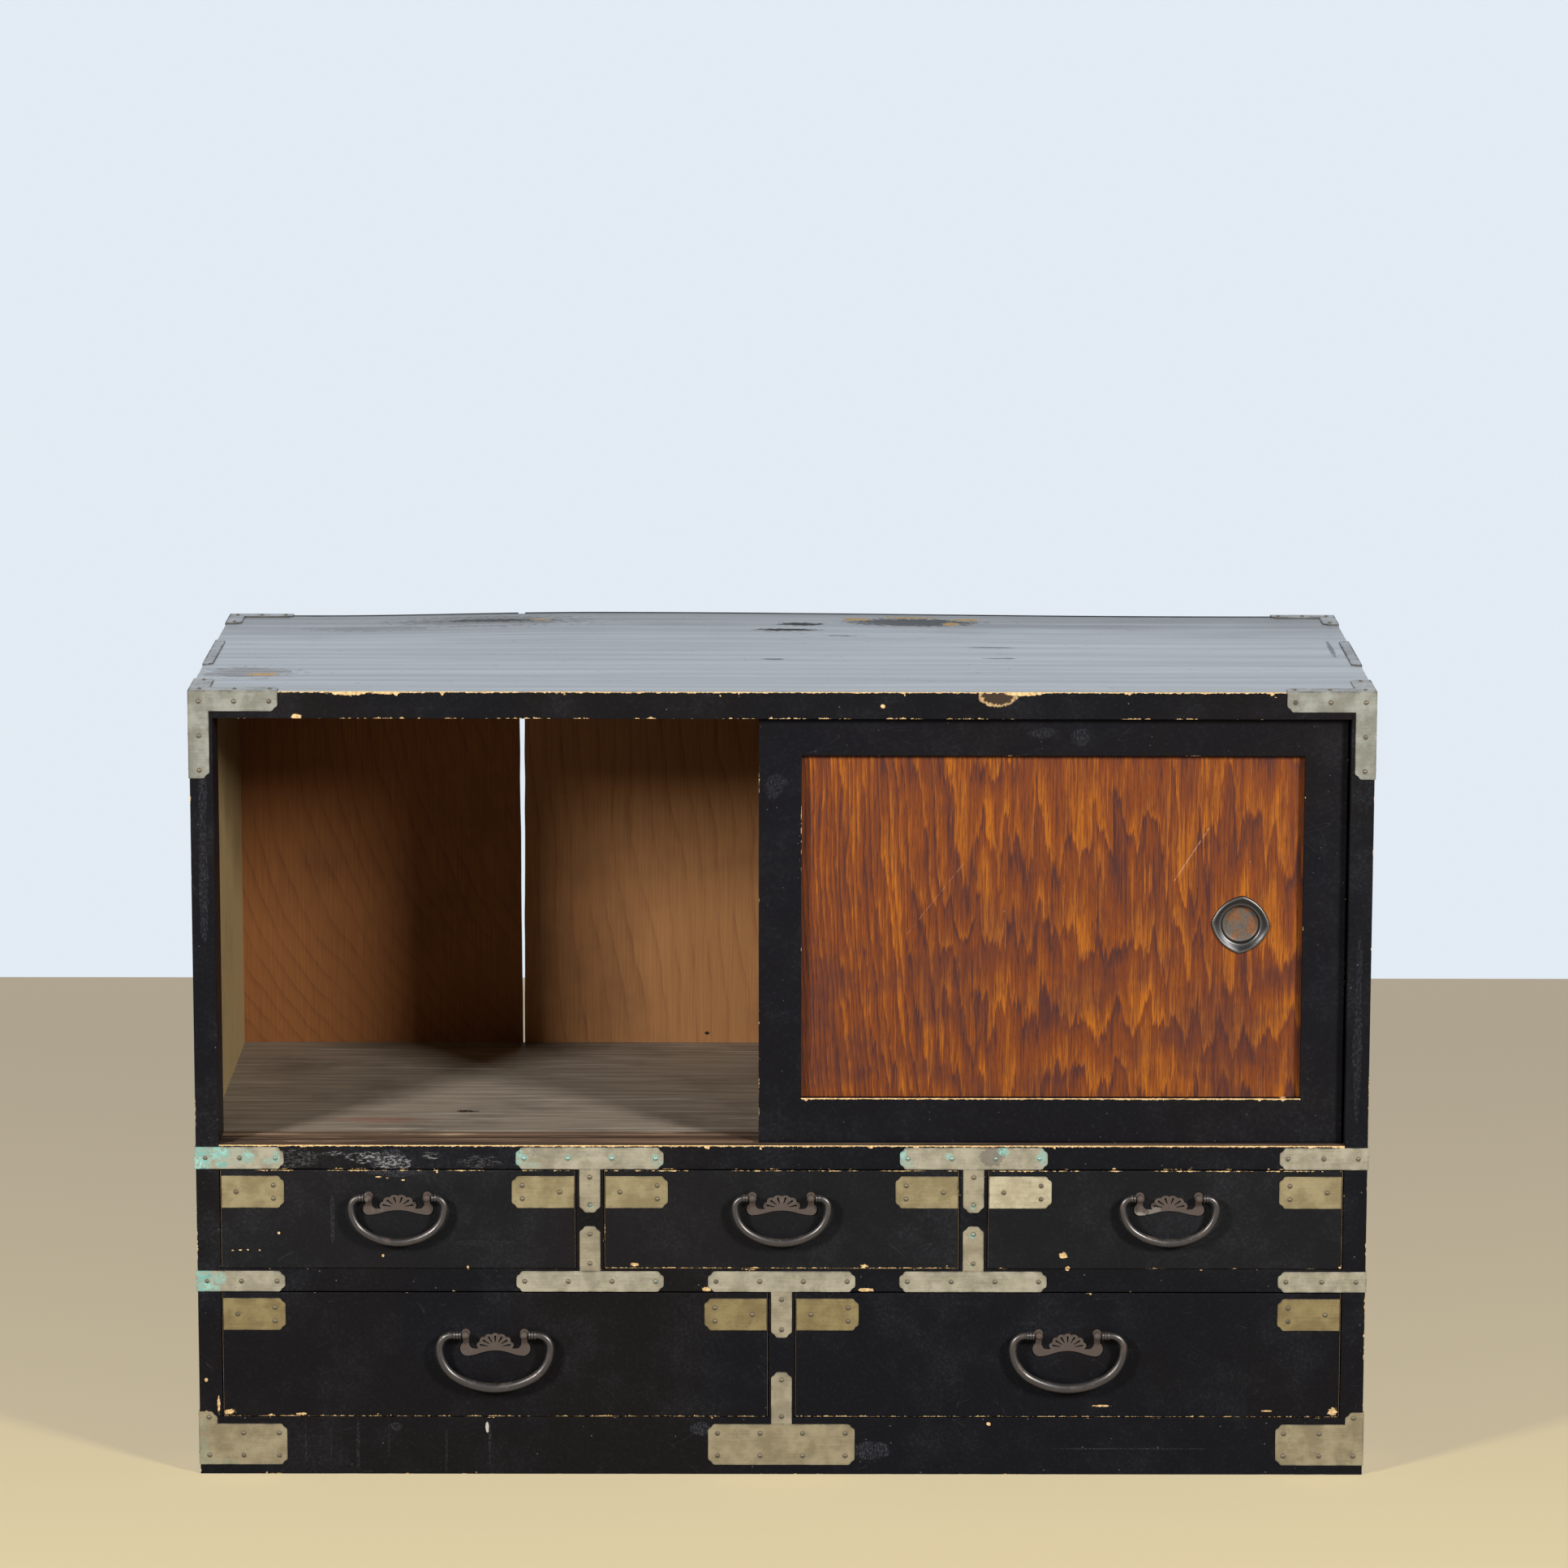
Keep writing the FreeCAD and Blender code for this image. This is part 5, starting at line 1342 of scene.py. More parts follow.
    def grooved(self, node: str) -> Piece:
        """The head or the sill: a profile with two door grooves carried along X.

        The profile is a closed loop of points in Y and Z; every corner is a small arc.
        """
        low, high = box_mm(node)
        head = node == "door_head"
        y0, y1, z0, z1 = low[1], high[1], low[2], high[2]
        mouth, floor, far = (z0, z0 + self.head_groove, z1) if head else (z1, z1 - self.sill_groove, z0)
        corners = [(y0, mouth)]
        for offset in self.groove_offsets:
            a, b = y0 + offset, y0 + offset + self.groove_width
            corners += [(a, mouth), (a, floor), (b, floor), (b, mouth)]
        corners += [(y1, mouth), (y1, far), (y0, far)]
        radii = np.full(len(corners), self.arris)
        if head:
            radii[-2:] = 0.02
        loop = self.softened(np.array(corners), radii)
        area = np.sum(loop[:, 0] * np.roll(loop[:, 1], -1) - loop[:, 1] * np.roll(loop[:, 0], -1))
        if area < 0:
            loop = loop[::-1]
        xs = stations(low[0], high[0], 5.0)
        points = np.empty((len(xs), len(loop), 3))
        points[..., 0] = xs[:, None]
        points[..., 1:] = loop[None]
        number = np.arange(points.shape[0] * points.shape[1]).reshape(points.shape[:2])
        quads = ring_quads(number)[:, ::-1]
        faces = quads.tolist() + [number[0][::-1].tolist(), number[-1].tolist()]
        flat = points.reshape(-1, 3)
        wear = (0.6, 0.0, 1.5, 0.5) if head else (1.6, 1.2, 1.2, 0.45)
        top_reach, top_cover, foot_reach, foot_cover = wear
        to_top = np.hypot(flat[:, 1] - y0, flat[:, 2] - z1)
        to_foot = np.hypot(flat[:, 1] - y0, flat[:, 2] - z0)
        upper = to_top / top_reach < to_foot / foot_reach
        values = {"edge": np.where(upper, to_top, to_foot), "reach": np.where(upper, top_reach, foot_reach),
                  "cover": np.where(upper, top_cover, foot_cover)}
        middles = flat[quads].mean(axis=1)
        above, behind = z1 - self.track_depth, y0 + self.track_start
        track = (middles[:, 2] > above) & (middles[:, 1] > behind) & (not head)
        shell = Shell(flat, faces, values, np.concatenate([track.astype(int), [0, 0]]))
        return self.place(node.replace("door_", ""), [shell], [FRONT_LACQUER, TRACK_WOOD], (node,))

    def softened(self, corners: np.ndarray, radii: np.ndarray) -> np.ndarray:
        """A closed loop with each corner turned into a quarter curve and long runs divided every 4 mm.

        A corner c between directions u and v becomes c - r u (1 - s)^2 + r v s^2 for s from 0 to 1.
        """
        parts = []
        count = len(corners)
        for i in range(count):
            here, before, after = corners[i], corners[i - 1], corners[(i + 1) % count]
            radius = radii[i]
            u = (here - before) / np.linalg.norm(here - before)
            v = (after - here) / np.linalg.norm(after - here)
            s = np.linspace(0.0, 1.0, 4)[:, None]
            parts.append(here - radius * u * (1 - s) ** 2 + radius * v * s ** 2)
            run = np.linalg.norm(after - here) - radius - radii[(i + 1) % count]
            steps = int(run // 4.0)
            if steps > 0:
                t = np.linspace(0.0, 1.0, steps + 2)[1:-1, None]
                parts.append(here + v * radius + t * v * run)
        return np.concatenate(parts)

    def back(self) -> Piece:
        """The two back boards; the edges that face each other splay upwards from their foot and waver."""
        low, high = box_mm("back_boards")
        shells = []
        for side in (-1, 1):
            shares = stations(0.0, 230.0, 9.0) / 230.0
            points, quads, sides = tensor_box(shares, stations(low[1], high[1], 4.0),
                                              stations(0.0, high[2], 6.0))
            z = points[:, 2].copy()
            open_share = np.clip((z - self.split_foot) / (high[2] - self.split_foot), 0.0, 1.0)
            wander = lattice_noise(np.stack([z * 0, z * 0, z], 1), (50.0, 50.0, 23.0), 20 + side)
            half = self.split_width / 2 * open_share + (wander - 0.5) * 0.9 * open_share + 0.06
            inner = self.split_x + side * half
            outer = low[0] if side < 0 else high[0]
            share = points[:, 0]
            points[:, 0] = outer + (inner - outer) * share
            if side > 0:
                quads = quads[:, ::-1]
            points[:, 2] += (self.lift(points[:, 0]) - 0.4) * smoothstep(430.0, 621.0, z)
            finish = np.where(sides == 2, 0 if side < 0 else 1, 2)
            zero = np.zeros(len(points))
            values = {"edge": zero + FAR_EDGE, "reach": zero, "cover": zero}
            shells.append(Shell(points, quads.tolist(), values, finish))
        return self.place("back", shells, [BACK_LEFT_WOOD, BACK_RIGHT_WOOD, INNER_LACQUER], ("back_boards",))


# The pull's profile from the dish's middle round to its back: distance from the axis, depth behind the seat,
# share of the outline, dish floor and painted highlight on the rim.
PULL_PROFILE = (
    (0.0, 4.35, 0, 1, 0), (5.0, 4.38, 0, 1, 0), (9.5, 4.4, 0, 1, 0), (12.3, 4.3, 0, 1, 0),
    (13.6, 3.9, 0, 0.8, 0.1), (14.3, 3.1, 0, 0, 0.15), (14.6, 1.9, 0, 0, 0.1), (14.75, 0.7, 0, 0, 0.1),
    (15.1, 0.1, 0, 0, 0.5), (15.8, -0.2, 0, 0, 0.75), (16.6, -0.35, 0, 0, 0.3), (17.8, -0.75, 0.25, 0, 0.1),
    (19.2, -1.25, 0.6, 0, 0.12), (20.0, -1.6, 0.9, 0, 0.3), (20.6, -1.8, 1, 0, 1.0),
    (21.3, -1.72, 1, 0, 0.9), (21.9, -1.3, 1, 0, 0.3), (22.2, -0.6, 1, 0, 0.05), (22.25, 0.0, 1, 0, 0.0),
    (15.6, 0.05, 0, 0, 0), (15.6, 2.5, 0, 0, 0), (15.6, 5.15, 0, 0, 0), (8.0, 5.2, 0, 0, 0),
    (0.0, 5.2, 0, 0, 0))


@dataclass
class Door(Joinery):
    """A sliding door's frame: stiles and rails with tongues for the grooves, and its finger pull."""

    side: str
    panel_finish: Finish
    stile_width: float = 33.0
    foot_rail: float = 34.5
    crown_rail: float = 29.5
    foot_gap: float = 3.5
    crown_gap: float = 5.3
    lap: float = 0.8
    tongue: tuple[float, float] = (0.6, 4.6)
    tongue_root: float = 0.6
    pull_seat: float = 1.8
    pull_tip: float = 23.0
    pull_side: float = 20.9
    pull_turn: float = 3.5

    def build(self) -> list[Piece]:
        """Builds the frame and the pull, and dresses the panel."""
        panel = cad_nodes()[self.side + "_door_panel"]
        dress(panel, self.panel_finish)
        return [self.frame("stiles"), self.frame("rails"), self.pull()]

    def frame(self, kind: str) -> Piece:
        """The two stiles, or the two rails between them."""
        node = f"{self.side}_door_{kind}"
        low, high = box_mm(f"{self.side}_door_stiles")
        foot, crown = low[2] + self.foot_gap, high[2] - self.crown_gap
        if kind == "stiles":
            spans = ((low[0], low[0] + self.stile_width), (high[0] - self.stile_width, high[0]))
            blocks = [(a, b, foot, crown, low[2], high[2]) for a, b in spans]
            wear = (around_front(0.8, 0.2, 0.3, 0.45, 0.4), around_front(0.8, 0.2, 0.3, 0.3, 0.4))
            flush = ()
        else:
            a, b = low[0] + self.stile_width - self.lap, high[0] - self.stile_width + self.lap
            blocks = [(a, b, foot, foot + self.foot_rail, low[2], None),
                      (a, b, crown - self.crown_rail, crown, None, high[2])]
            wear = (around_front(1.3, 1.2, 0.2, 0.0, 0.0), around_front(0.7, 0.1, 0.3, 0.0, 0.0))
            flush = (Side.LEFT, Side.RIGHT)
        y0, y1 = low[1] + self.tongue[0], low[1] + self.tongue[1]
        shells = []
        for number, (a, b, z0, z1, tongue_low, tongue_high) in enumerate(blocks):
            shells.append(Block(np.array([a, low[1], z0]), np.array([b, high[1], z1]), wear=wear[number],
                                radius=0.55, flush=flush, seed=30 + number).shell())
            for start, end in ((tongue_low, z0 + self.tongue_root), (z1 - self.tongue_root, tongue_high)):
                if start is not None and end is not None:
                    shells.append(Block(np.array([a, y0, start]), np.array([b, y1, end]), step=12.0,
                                        radius=0.2, chip=0.0).shell())
        return self.place(f"{self.side}_{kind}", shells, [DOOR_LACQUER], (node,))

    def outline(self, turn: np.ndarray) -> np.ndarray:
        """Radius of the pull's rim at an angle: four arcs that meet in points.

        Each arc's centre lies at c on the line through its middle: r = c cos a + sqrt(R^2 - c^2 sin^2 a).
        """
        half = math.cos(math.pi / 4) * self.pull_tip
        centre = (self.pull_tip ** 2 - self.pull_side ** 2) / (2 * (half - self.pull_side))
        radius = self.pull_side - centre
        angle = (turn + math.radians(self.pull_turn)) % (math.pi / 2) - math.pi / 4
        return centre * np.cos(angle) + np.sqrt(radius ** 2 - (centre * np.sin(angle)) ** 2)

    def pull(self) -> Piece:
        """The finger pull: a profile turned about the dish's axis, its outer part scaled by the outline."""
        node = f"{self.side}_door_pull"
        low, high = box_mm(node)
        middle = (low + high) / 2
        seat = low[1] + self.pull_seat
        rows = np.array(PULL_PROFILE)
        turns = np.linspace(0.0, 2 * math.pi, 96, endpoint=False)
        scale = self.outline(turns) / rows[:, 0].max()
        reach = rows[1:-1, 0][:, None] * (1 + rows[1:-1, 2][:, None] * (scale[None] - 1))
        ring = np.empty((len(rows) - 2, len(turns), 3))
        ring[..., 0] = middle[0] + reach * np.cos(turns)
        ring[..., 1] = seat + rows[1:-1, 1][:, None]
        ring[..., 2] = middle[2] + reach * np.sin(turns)
        poles = np.array([[middle[0], seat + rows[0, 1], middle[2]],
                          [middle[0], seat + rows[-1, 1], middle[2]]])
        points = np.concatenate([ring.reshape(-1, 3), poles])
        number = np.arange(ring.shape[0] * ring.shape[1]).reshape(ring.shape[:2])
        ahead = np.roll(number, -1, axis=1)
        quads = ring_quads(number)[:, [0, 3, 2, 1]]
        first, last = len(points) - 2, len(points) - 1
        caps = [[first, int(a), int(b)] for a, b in zip(number[0], ahead[0])]
        caps += [[last, int(b), int(a)] for a, b in zip(number[-1], ahead[-1])]
        spread = np.repeat(rows[1:-1, 3:5], len(turns), axis=0)
        dish = np.concatenate([spread[:, 0], [1.0, 0.0]])
        crest = np.concatenate([spread[:, 1], [0.0, 0.0]])
        shell = Shell(points, quads.tolist() + caps, {"dish": dish, "crest": crest})
        return self.place(f"{self.side}_pull", [shell], [PULL_METAL], (node,))


@dataclass
class HandleForm:
    """Sizes of a bail, in millimetres."""

    half_width: float
    drop: float
    shoulder: float
    side: float
    tip: float
    middle: float
    rings: int


SMALL_HANDLE = HandleForm(36.3, 35.6, 7.3, 25.0, 2.4, 3.2, 2)
LARGE_HANDLE = HandleForm(43.3, 42.4, 10.0, 28.5, 2.6, 3.75, 3)


@dataclass
class Bail:
    """A swinging bail: a rod swept along four tangent pieces each side, ringed near its tips."""

    form: HandleForm
    eye_offset: float = 22.8
    eye_radius: float = 3.2
    side_gap: float = 0.3
    pin_radius: float = 1.3
    ring_rise: float = 0.8
    ring_length: float = 1.4
    ring_pitch: float = 2.2
    around: int = 20
    total: float = field(default=0.0, init=False)

    def __post_init__(self) -> None:
        """Works out the half path's length."""
        self.half_path(np.zeros(1))

    def half_path(self, s: np.ndarray) -> tuple[np.ndarray, np.ndarray]:
        """Points and headings of the right half at lengths s from its tip; the pin runs back from the tip.

        A straight tip, then arcs of the shoulder, side and bottom radii, each tangent to the next.
        """
        f = self.form
        start = self.eye_offset + self.eye_radius + self.side_gap
        shoulder_x = f.half_width - f.shoulder
        side_x = f.half_width - f.side
        below = f.drop - f.shoulder
        bottom = (side_x ** 2 + below ** 2 - f.side ** 2) / (2 * (below - f.side))
        bottom_z = bottom - f.drop
        sweep = math.atan2(bottom_z + f.shoulder, side_x)
        lengths = [shoulder_x - start, f.shoulder * math.pi / 2, f.side * sweep,
                   bottom * (math.pi / 2 - sweep)]
        knots = np.cumsum([0.0, *lengths])
        points = np.stack([start + s, np.zeros_like(s)], axis=1)
        headings = np.tile([1.0, 0.0], (len(s), 1))
        arcs = ((shoulder_x, -f.shoulder, f.shoulder, math.pi / 2), (side_x, -f.shoulder, f.side, 0.0),
                (0.0, bottom_z, bottom, -sweep))
        for i, (cx, cz, radius, first) in enumerate(arcs):
            turn = first - (s - knots[i + 1]) / radius
            there = (s > knots[i + 1])[:, None]
            arc = np.stack([cx + radius * np.cos(turn), cz + radius * np.sin(turn)], axis=1)
            points = np.where(there, arc, points)
            headings = np.where(there, np.stack([np.sin(turn), -np.cos(turn)], 1), headings)
        self.total = float(knots[-1])
        return points, headings

    def radii(self, s: np.ndarray) -> np.ndarray:
        """Rod radius at lengths s from the tip: a pin, then a rod that swells to its middle, with rings."""
        f = self.form
        share = np.clip(s / self.total, 0.0, 1.0)
        rod = f.tip + (f.middle - f.tip) * np.sin(share * math.pi / 2) ** 1.5
        for i in range(f.rings):
            off = (s - i * self.ring_pitch - self.ring_length / 2) / (self.ring_length * 0.62)
            rod = rod + self.ring_rise * np.sqrt(np.clip(1.0 - off ** 2, 0.0, 1.0))
        return np.where(s < 0, self.pin_radius, rod)

    def shell(self, pivot: np.ndarray) -> Shell:
        """The swept surface about a pivot, closed at both pin ends.

        Each ring of points is centre + r (cos a n + sin a b), n being +Y and b square to it and the heading.
        """
        pin = self.side_gap + 2 * self.eye_radius
        close = np.arange(0.0, self.form.rings * self.ring_pitch + 1.0, 0.16)
        rest = np.linspace(close[-1], self.total, 46)[1:]
        s = np.concatenate([[-pin, -pin * 0.5, -0.02, 0.0], close[1:], rest])
        points, headings = self.half_path(s)
        radii = self.radii(s)
        radii[3] = self.form.tip * 0.8
        mirrored = points[:-1][::-1] * [-1.0, 1.0]
        path = np.concatenate([points, mirrored])
        back = headings[:-1][::-1] * [1.0, -1.0]
        heading = np.concatenate([headings, back])
        radius = np.concatenate([radii, radii[:-1][::-1]])
        turns = np.linspace(0.0, 2 * math.pi, self.around, endpoint=False)
        across = np.stack([-heading[:, 1], heading[:, 0]], axis=1)
        ring = np.empty((len(path), self.around, 3))
        ring[..., 0] = path[:, :1] + radius[:, None] * np.sin(turns) * across[:, :1]
        ring[..., 1] = radius[:, None] * np.cos(turns)
        ring[..., 2] = path[:, 1:] + radius[:, None] * np.sin(turns) * across[:, 1:]
        points3 = ring.reshape(-1, 3) + pivot
        number = np.arange(len(points3)).reshape(ring.shape[:2])
        faces = ring_quads(number).tolist() + [number[0][::-1].tolist(), number[-1].tolist()]
        return outward(Shell(points3, faces))


def outward(shell: Shell) -> Shell:
    """The same shell with its faces turned to point outwards, told by the sign of its volume."""
    points = shell.points - shell.points.mean(0)
    quads = np.array([face[:4] for face in shell.faces if len(face) == 4])
    a, b, c, d = (points[quads[:, i]] for i in range(4))
    volume = np.einsum("ij,ij->i", a, np.cross(b, c)).sum() + np.einsum("ij,ij->i", a, np.cross(c, d)).sum()
    if volume < 0:
        shell.faces = [face[::-1] for face in shell.faces]
    return shell


@dataclass
class Drawer(Joinery):
    """A drawer: its front, bail, handle plate and corner plates; the box behind keeps its solids."""

    name: str
    form: HandleForm
    brass: tuple[Finish, Finish]
    wear: tuple[float, float, float, float]
    wear_reach: float = 1.15
    foot_reach: float = 1.5
    housing: float = 7.0
    wall: float = 8.0
    wall_drop: float = 5.0
    bottom: float = 5.0

    def build(self) -> list[Piece]:
        """Builds the front, the bail and the metal, and dresses the wooden box."""
        for part in ("_walls", "_bottom"):
            dress(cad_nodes()[self.name + part], DRAWER_WOOD)
        plates = MountSet(self.name + "_plates", self.name + "_corner_plates", self.body, self.brass[0],
                          right_finish=self.brass[1])
        iron = MountSet(self.name + "_handle_plate_iron", self.name + "_handle_plate", self.body, PLATE_IRON,
                        bevel=0.16, hole_edge=0.0, nail_width=0.0, rounds=0)
        return [self.front(), plates.build(), iron.build(), self.bail()]

    def front(self) -> Piece:
        """The front board, narrowed behind where the walls and the bottom are let in."""
        node = self.name + "_front"
        low, high = box_mm(node)
        wear = around_front(self.wear_reach, *self.wear, foot_reach=self.foot_reach)
        seed = sum(map(ord, self.name)) % 97
        ledge = high[1] - self.housing
        face_block = Block(low, np.array([high[0], ledge, high[2]]), wear=wear, radius=0.7, chip=0.7,
                           faces={Side.LEFT: 1, Side.RIGHT: 1, Side.BOTTOM: 1, Side.BACK: 1}, seed=seed)
        inner = Block(np.array([low[0] + self.wall, ledge - 0.5, low[2] + self.bottom]),
                      np.array([high[0] - self.wall, high[1], high[2] - self.wall_drop]), step=20.0,
                      radius=0.1, chip=0.0)
        above = Block(np.array([low[0], ledge - 0.5, high[2] - self.wall_drop]), high, step=20.0,
                      radius=0.2, chip=0.0)
        shells = [face_block.shell(), inner.shell(), above.shell()]
        for shell in shells[1:]:
            shell.finish[:] = 1
        lacquer = UPPER_LACQUER if self.form is SMALL_HANDLE else FRONT_LACQUER
        return self.place(self.name + "_face", shells, [lacquer, DRAWER_WOOD], (node,))

    def bail(self) -> Piece:
        """The bail on its own body, about the pivot line."""
        node = self.name + "_bail"
        low, high = box_mm(node)
        middle = (low + high) / 2
        pivot = np.array([middle[0], middle[1], low[2] + self.form.drop + self.form.middle])
        piece = Bail(self.form).shell(pivot).as_object(self.name + "_bail_iron", [BAIL_IRON])
        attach(piece, self.name + "_bail")
        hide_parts(node)
        return piece


# Sheet metal


@dataclass
class MountSet:
    """Metal pieces copied from a CAD node, with softened edges and the values that their finish reads."""

    name: str
    node: str
    body: str
    finish: Finish
    right_finish: Finish | None = None
    top_sheen_finish: Finish | None = None
    bevel: float = 0.18
    hole_edge: float = 0.75
    nail_width: float = 3.7
    nail_cell: float = 1.1
    edge_cell: float = 3.0
    rounds: int = 7

    def build(self) -> Piece:
        """Copies, softens and divides the mesh, then puts it on its body."""
        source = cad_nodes()[self.node].data
        nails = [part for part in loose_parts(source) if sorted(np.ptp(part, axis=0))[1] < self.nail_width]
        middles = np.array([head_base(part) for part in nails]) if nails else case_nails()
        bm = bmesh.new()
        bm.from_mesh(source)
        bmesh.ops.remove_doubles(bm, verts=bm.verts, dist=2e-6)
        bmesh.ops.dissolve_limit(bm, angle_limit=math.radians(0.6), verts=bm.verts, edges=bm.edges)
        heads = tree_of(middles * MM)
        own = bool(nails)
        sharp = [e for e in bm.edges if e.is_manifold and e.calc_face_angle(0.0) > math.radians(40.0)
                 and not (own and heads.find(e.verts[0].co)[2] < self.nail_width / 2 * MM)]
        rim = [e for e in sharp if e.calc_length() > self.hole_edge * MM or self.hole_edge == 0.0]
        outline = self.samples(rim)
        bmesh.ops.bevel(bm, geom=rim, offset=self.bevel * MM, segments=2, profile=0.6, affect="EDGES",
                        clamp_overlap=True)
        bmesh.ops.triangulate(bm, faces=bm.faces)
        edge_tree = tree_of(outline)
        self.refine(bm, edge_tree, heads)
        bm.normal_update()
        values = {"edge": [edge_tree.find(v.co)[2] / MM for v in bm.verts],
                  "nail": [heads.find(v.co)[2] / MM for v in bm.verts]}
        numbers = self.pick(bm, middles if own else np.empty((0, 3)))
        mesh = bpy.data.meshes.new(self.name)
        bm.to_mesh(mesh)
        bm.free()
        for key, figures in values.items():
            mesh.attributes.new(key, "FLOAT", "POINT").data.foreach_set("value",
                                                                        np.array(figures, np.float32))
        for finish in (self.finish, self.right_finish or self.finish, NAIL_METAL,
                       self.top_sheen_finish or self.finish):
            mesh.materials.append(finish.material())
        mesh.polygons.foreach_set("material_index", numbers)
        piece = linked(self.name, mesh)
        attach(piece, self.body)
        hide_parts(self.node)
        return piece

    def samples(self, edges: list) -> np.ndarray:
        """Points along edges, about a millimetre apart, in metres."""
        ends = np.array([[e.verts[0].co, e.verts[1].co] for e in edges])
        counts = np.maximum(2, np.linalg.norm(ends[:, 1] - ends[:, 0], axis=1) / MM + 1).astype(int)
        which = np.repeat(np.arange(len(ends)), counts)
        share = (np.arange(len(which)) - np.repeat(np.cumsum(counts) - counts, counts)) / (counts[which] - 1)
        return ends[which, 0] + (ends[which, 1] - ends[which, 0]) * share[:, None]

    def refine(self, bm: bmesh.types.BMesh, outline: KDTree, heads: KDTree) -> None:
        """Halves the long edges of the seen side, shortest round the nails, until none is left."""
        for _ in range(self.rounds):
            bm.normal_update()
            for edge in bm.edges:
                outward_faces = [f.normal.dot(f.calc_center_median() - CHEST_MIDDLE) > 0.0
                                 for f in edge.link_faces]
                edge.tag = any(outward_faces)
            long = [e for e in bm.edges if e.tag and self.too_long(e, outline, heads)]
            if not long:
                return
            bmesh.ops.subdivide_edges(bm, edges=long, cuts=1)
            bmesh.ops.triangulate(bm, faces=[f for f in bm.faces if len(f.verts) > 3])

    def too_long(self, edge: bmesh.types.BMEdge, outline: KDTree, heads: KDTree) -> bool:
        """Whether an edge is longer than its distance from the nails and the outline allows."""
        length = edge.calc_length() / MM
        if length < self.nail_cell:
            return False
        spot = (edge.verts[0].co + edge.verts[1].co) / 2
        by_nail = max(self.nail_cell, 0.9 * (heads.find(spot)[2] / MM - 2.4))
        return length > by_nail or length > max(self.edge_cell, outline.find(spot)[2] / MM)

    def pick(self, bm: bmesh.types.BMesh, nails: np.ndarray) -> np.ndarray:
        """Finish numbers of the faces: 0, 1 right of the node's middle, 2 on nails, 3 on the top, whose
        metal is a brighter copy with painted sheen.
        """
        centres = np.array([f.calc_center_median() for f in bm.faces]) / MM
        normals = np.array([f.normal for f in bm.faces])
        numbers = np.zeros(len(centres), np.int32)
        if self.right_finish:
            numbers[centres[:, 0] > (centres[:, 0].min() + centres[:, 0].max()) / 2] = 1
        if self.top_sheen_finish:
            numbers[(normals[:, 2] > 0.7) & (centres[:, 2] > TOP_MOUNTS_FROM)] = 3
        for nail in nails:
            away = np.hypot(centres[:, 0] - nail[0], centres[:, 2] - nail[2])
            numbers[(away < self.nail_width / 2) & (centres[:, 1] < nail[1] + 0.02)] = 2
        return numbers


# Helpers on the frame

_FRAME: dict = {}


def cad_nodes() -> dict[str, Piece]:
    """The CAD nodes' objects by name."""
    return _FRAME["nodes"]


def case_nails() -> np.ndarray:
    """Middles of the nail heads in the case's mounts, where they sit on the metal."""
    if "nails" not in _FRAME:
        _FRAME["nails"] = np.array([head_base(p) for p in loose_parts(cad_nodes()["carcass_nails"].data)])
    return _FRAME["nails"]


def dress(node: Piece, finish: Finish) -> None:
    """Gives a CAD node's object one finish in all its material slots."""
    material = finish.material()
    if not node.material_slots:
        node.data.materials.append(material)
    for slot in node.material_slots:
        slot.link = "OBJECT"
        slot.material = material


CASE_MOUNTS = (
    MountSet("front_brackets", "top_front_corners", "carcass", BRACKET_NICKEL, top_sheen_finish=TOP_SHEEN_NICKEL),
    MountSet("rear_brackets", "top_rear_corners", "carcass", REAR_NICKEL, top_sheen_finish=REAR_TOP_SHEEN_NICKEL),
    MountSet("edge_straps", "side_edge_straps", "carcass", REAR_NICKEL, top_sheen_finish=REAR_TOP_SHEEN_NICKEL),
    MountSet("rail_straps", "rail_end_straps", "carcass", NICKEL),
    MountSet("crossbars", "crossbar_plates", "carcass", NICKEL),
    MountSet("divider_mounts", "divider_plates", "carcass", DIVIDER_NICKEL),
    MountSet("base_mounts", "base_plates", "carcass", BASE_NICKEL))

KEPT_NODES: dict[str, Finish] = {
    "cupboard_floor": FLOOR_WOOD, "dust_board": HIDDEN_WOOD, "bottom_board": HIDDEN_WOOD,
    "drawer_guides": HIDDEN_WOOD, "carcass_nails": NAIL_METAL}

DRAWERS = (
    ("upper_left", SMALL_HANDLE, (BRASS, BRASS), (0.55, 0.3, 0.1, 0.3)),
    ("upper_middle", SMALL_HANDLE, (BRASS, BRASS), (0.55, 1.0, 0.35, 0.15)),
    ("upper_right", SMALL_HANDLE, (BRASS_BRIGHT, BRASS), (0.6, 0.45, 0.25, 0.35)),
    ("lower_left", LARGE_HANDLE, (BRASS_DARK, BRASS_DARK), (0.12, 0.8, 0.1, 0.25)),
    ("lower_right", LARGE_HANDLE, (BRASS_DARK, BRASS_DARK), (0.2, 0.85, 0.15, 0.2)))


# Stage


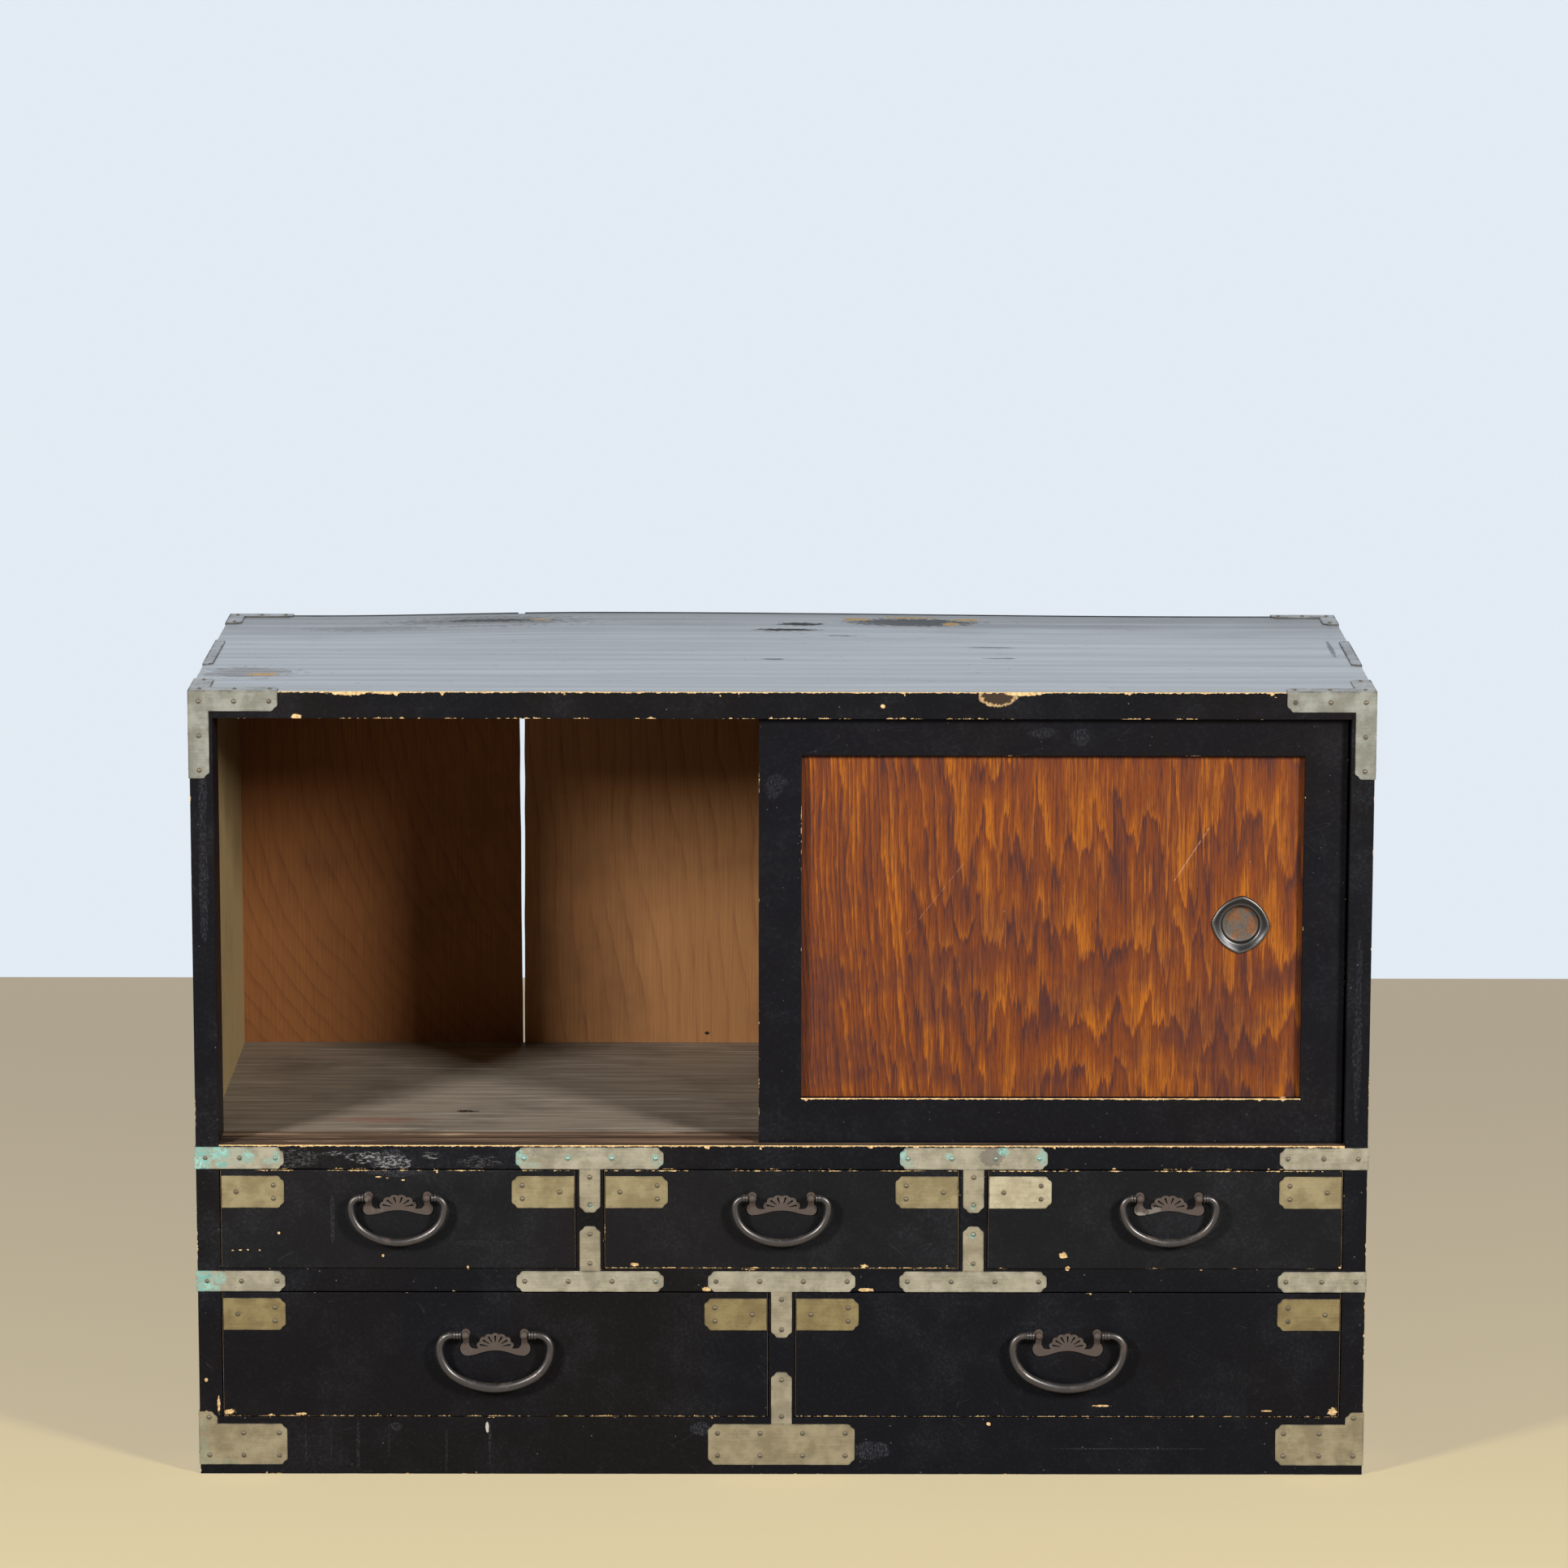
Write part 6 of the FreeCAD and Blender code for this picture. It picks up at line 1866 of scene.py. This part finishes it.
@dataclass
class Studio:
    """Floor, soft boxes, pale surroundings and the camera."""

    floor_half_width: float = 7.0
    floor_front: float = -7.5
    floor_back: float = 1.655
    camera_place: Triple = (-0.0037, -4.8989, 1.4145)
    camera_pitch: float = 79.5994
    camera_yaw: float = -0.0615
    camera_roll: float = 0.0798
    lens: float = 143.41
    box_azimuth: float = 43.3
    box_distance: float = 2.75
    box_height: float = 1.52
    box_size: tuple[float, float] = (0.42, 0.64)
    box_power: float = 76.0
    box_colour: Colour = (1.0, 0.985, 0.96)
    wall_colour: Colour = (0.765, 0.83, 0.90)
    room_colour: Colour = (0.92, 0.96, 1.0)
    room_light: float = 0.03
    floor_colour: Colour = (0.441, 0.362, 0.152)
    floor_bounce: Colour = (0.13, 0.125, 0.115)
    floor_glow: Colour = (0.337, 0.297, 0.246)
    aim: Triple = (-0.05, -0.19, 0.42)

    def build(self) -> None:
        """Sets the stage."""
        self.floor()
        self.surroundings()
        for side in (-1, 1):
            self.soft_box(side)
        self.camera()
        bpy.context.scene.view_settings.view_transform = "Standard"

    def floor(self) -> None:
        """A plain pale floor that ends where the room's wall begins and glows a little for the eye."""
        mesh = bpy.data.meshes.new("floor")
        wide, front, back = self.floor_half_width, self.floor_front, self.floor_back
        corners = [(-wide, front, 0.0), (wide, front, 0.0), (wide, back, 0.0), (-wide, back, 0.0)]
        mesh.from_pydata(corners, [], [(0, 1, 2, 3)])
        made = bpy.data.materials.new("pale floor")
        graph = fresh_graph(made)
        path = graph.node("LightPath").outputs
        seen = graph.most([path["Is Camera Ray"], path["Is Glossy Ray"], path["Is Transmission Ray"]])
        colour = graph.mix(path["Is Camera Ray"], self.floor_bounce, self.floor_colour)
        board = graph.node("BsdfDiffuse", {"Color": colour})
        own = graph.node("Emission", {"Color": self.floor_glow, "Strength": seen})
        both = graph.node("AddShader", {0: board.outputs[0], 1: own.outputs[0]})
        graph.node("OutputMaterial", {"Surface": both.outputs[0]})
        mesh.materials.append(made)
        floor = linked("floor", mesh)

    def surroundings(self) -> None:
        """A pale wall behind the chest for the eye and for reflections, and a dim room in front of it."""
        world = bpy.data.worlds.new("room")
        graph = fresh_graph(world)
        path = graph.node("LightPath").outputs
        heading = graph.parts(graph.node("TexCoord").outputs["Generated"])[1]
        behind = graph.ramp(heading, -0.25, 0.4, 0.1, 1.0)
        mirrored = graph.times(graph.math("MAXIMUM", path["Is Glossy Ray"], path["Is Transmission Ray"]),
                               behind)
        pale = graph.node("Background", {"Color": self.wall_colour, "Strength": 1.0})
        dim = graph.node("Background", {"Color": self.room_colour, "Strength": self.room_light})
        both = graph.node("MixShader", {0: graph.math("MAXIMUM", path["Is Camera Ray"], mirrored),
                                        1: dim.outputs[0], 2: pale.outputs[0]})
        graph.node("OutputWorld", {0: both.outputs[0]})
        bpy.context.scene.world = world

    def soft_box(self, side: int) -> None:
        """An upright soft box to the front left or right of the chest, facing it."""
        light = bpy.data.lights.new(f"soft_box_{side}", "AREA")
        light.shape = "RECTANGLE"
        light.size, light.size_y = self.box_size
        light.energy = self.box_power
        light.color = self.box_colour
        lamp = linked(light.name, light)
        turn = math.radians(self.box_azimuth)
        aim = Vector(self.aim)
        lamp.location = (aim.x + side * self.box_distance * math.sin(turn),
                         aim.y - self.box_distance * math.cos(turn), self.box_height)
        lamp.rotation_euler = (aim - lamp.location).to_track_quat("-Z", "Y").to_euler()

    def camera(self) -> None:
        """The camera at the photograph's place and angle."""
        data = bpy.data.cameras.new("camera")
        data.lens = self.lens
        data.sensor_width = 36.0
        data.clip_end = 60.0
        camera = linked("camera", data)
        turn = (Matrix.Rotation(math.radians(self.camera_yaw), 4, "Z")
                @ Matrix.Rotation(math.radians(self.camera_pitch), 4, "X")
                @ Matrix.Rotation(math.radians(self.camera_roll), 4, "Z"))
        camera.matrix_world = Matrix.Translation(self.camera_place) @ turn
        bpy.context.scene.camera = camera


def chest_pieces() -> list[Piece]:
    """Builds every piece of the chest, in order."""
    made = Carcass().build()
    for body, side, finish in (("front_door", "front", DOOR_PANEL), ("rear_door", "rear", REAR_PANEL)):
        made += Door(body=body, side=side, panel_finish=finish).build()
    for name, form, brass, wear in DRAWERS:
        made += Drawer(body=name + "_drawer", name=name, form=form, brass=brass, wear=wear).build()
    return made + [mount.build() for mount in CASE_MOUNTS]


def main() -> None:
    """Builds the chest's looks in order."""
    _FRAME.update(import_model())
    Studio().build()
    for node, finish in KEPT_NODES.items():
        dress(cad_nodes()[node], finish)
    for piece in chest_pieces():
        LOG.info("piece %s: %d faces", piece.name, len(piece.data.polygons))


if __name__ == "__main__":
    logging.basicConfig(level=logging.INFO, format="%(message)s")
    main()
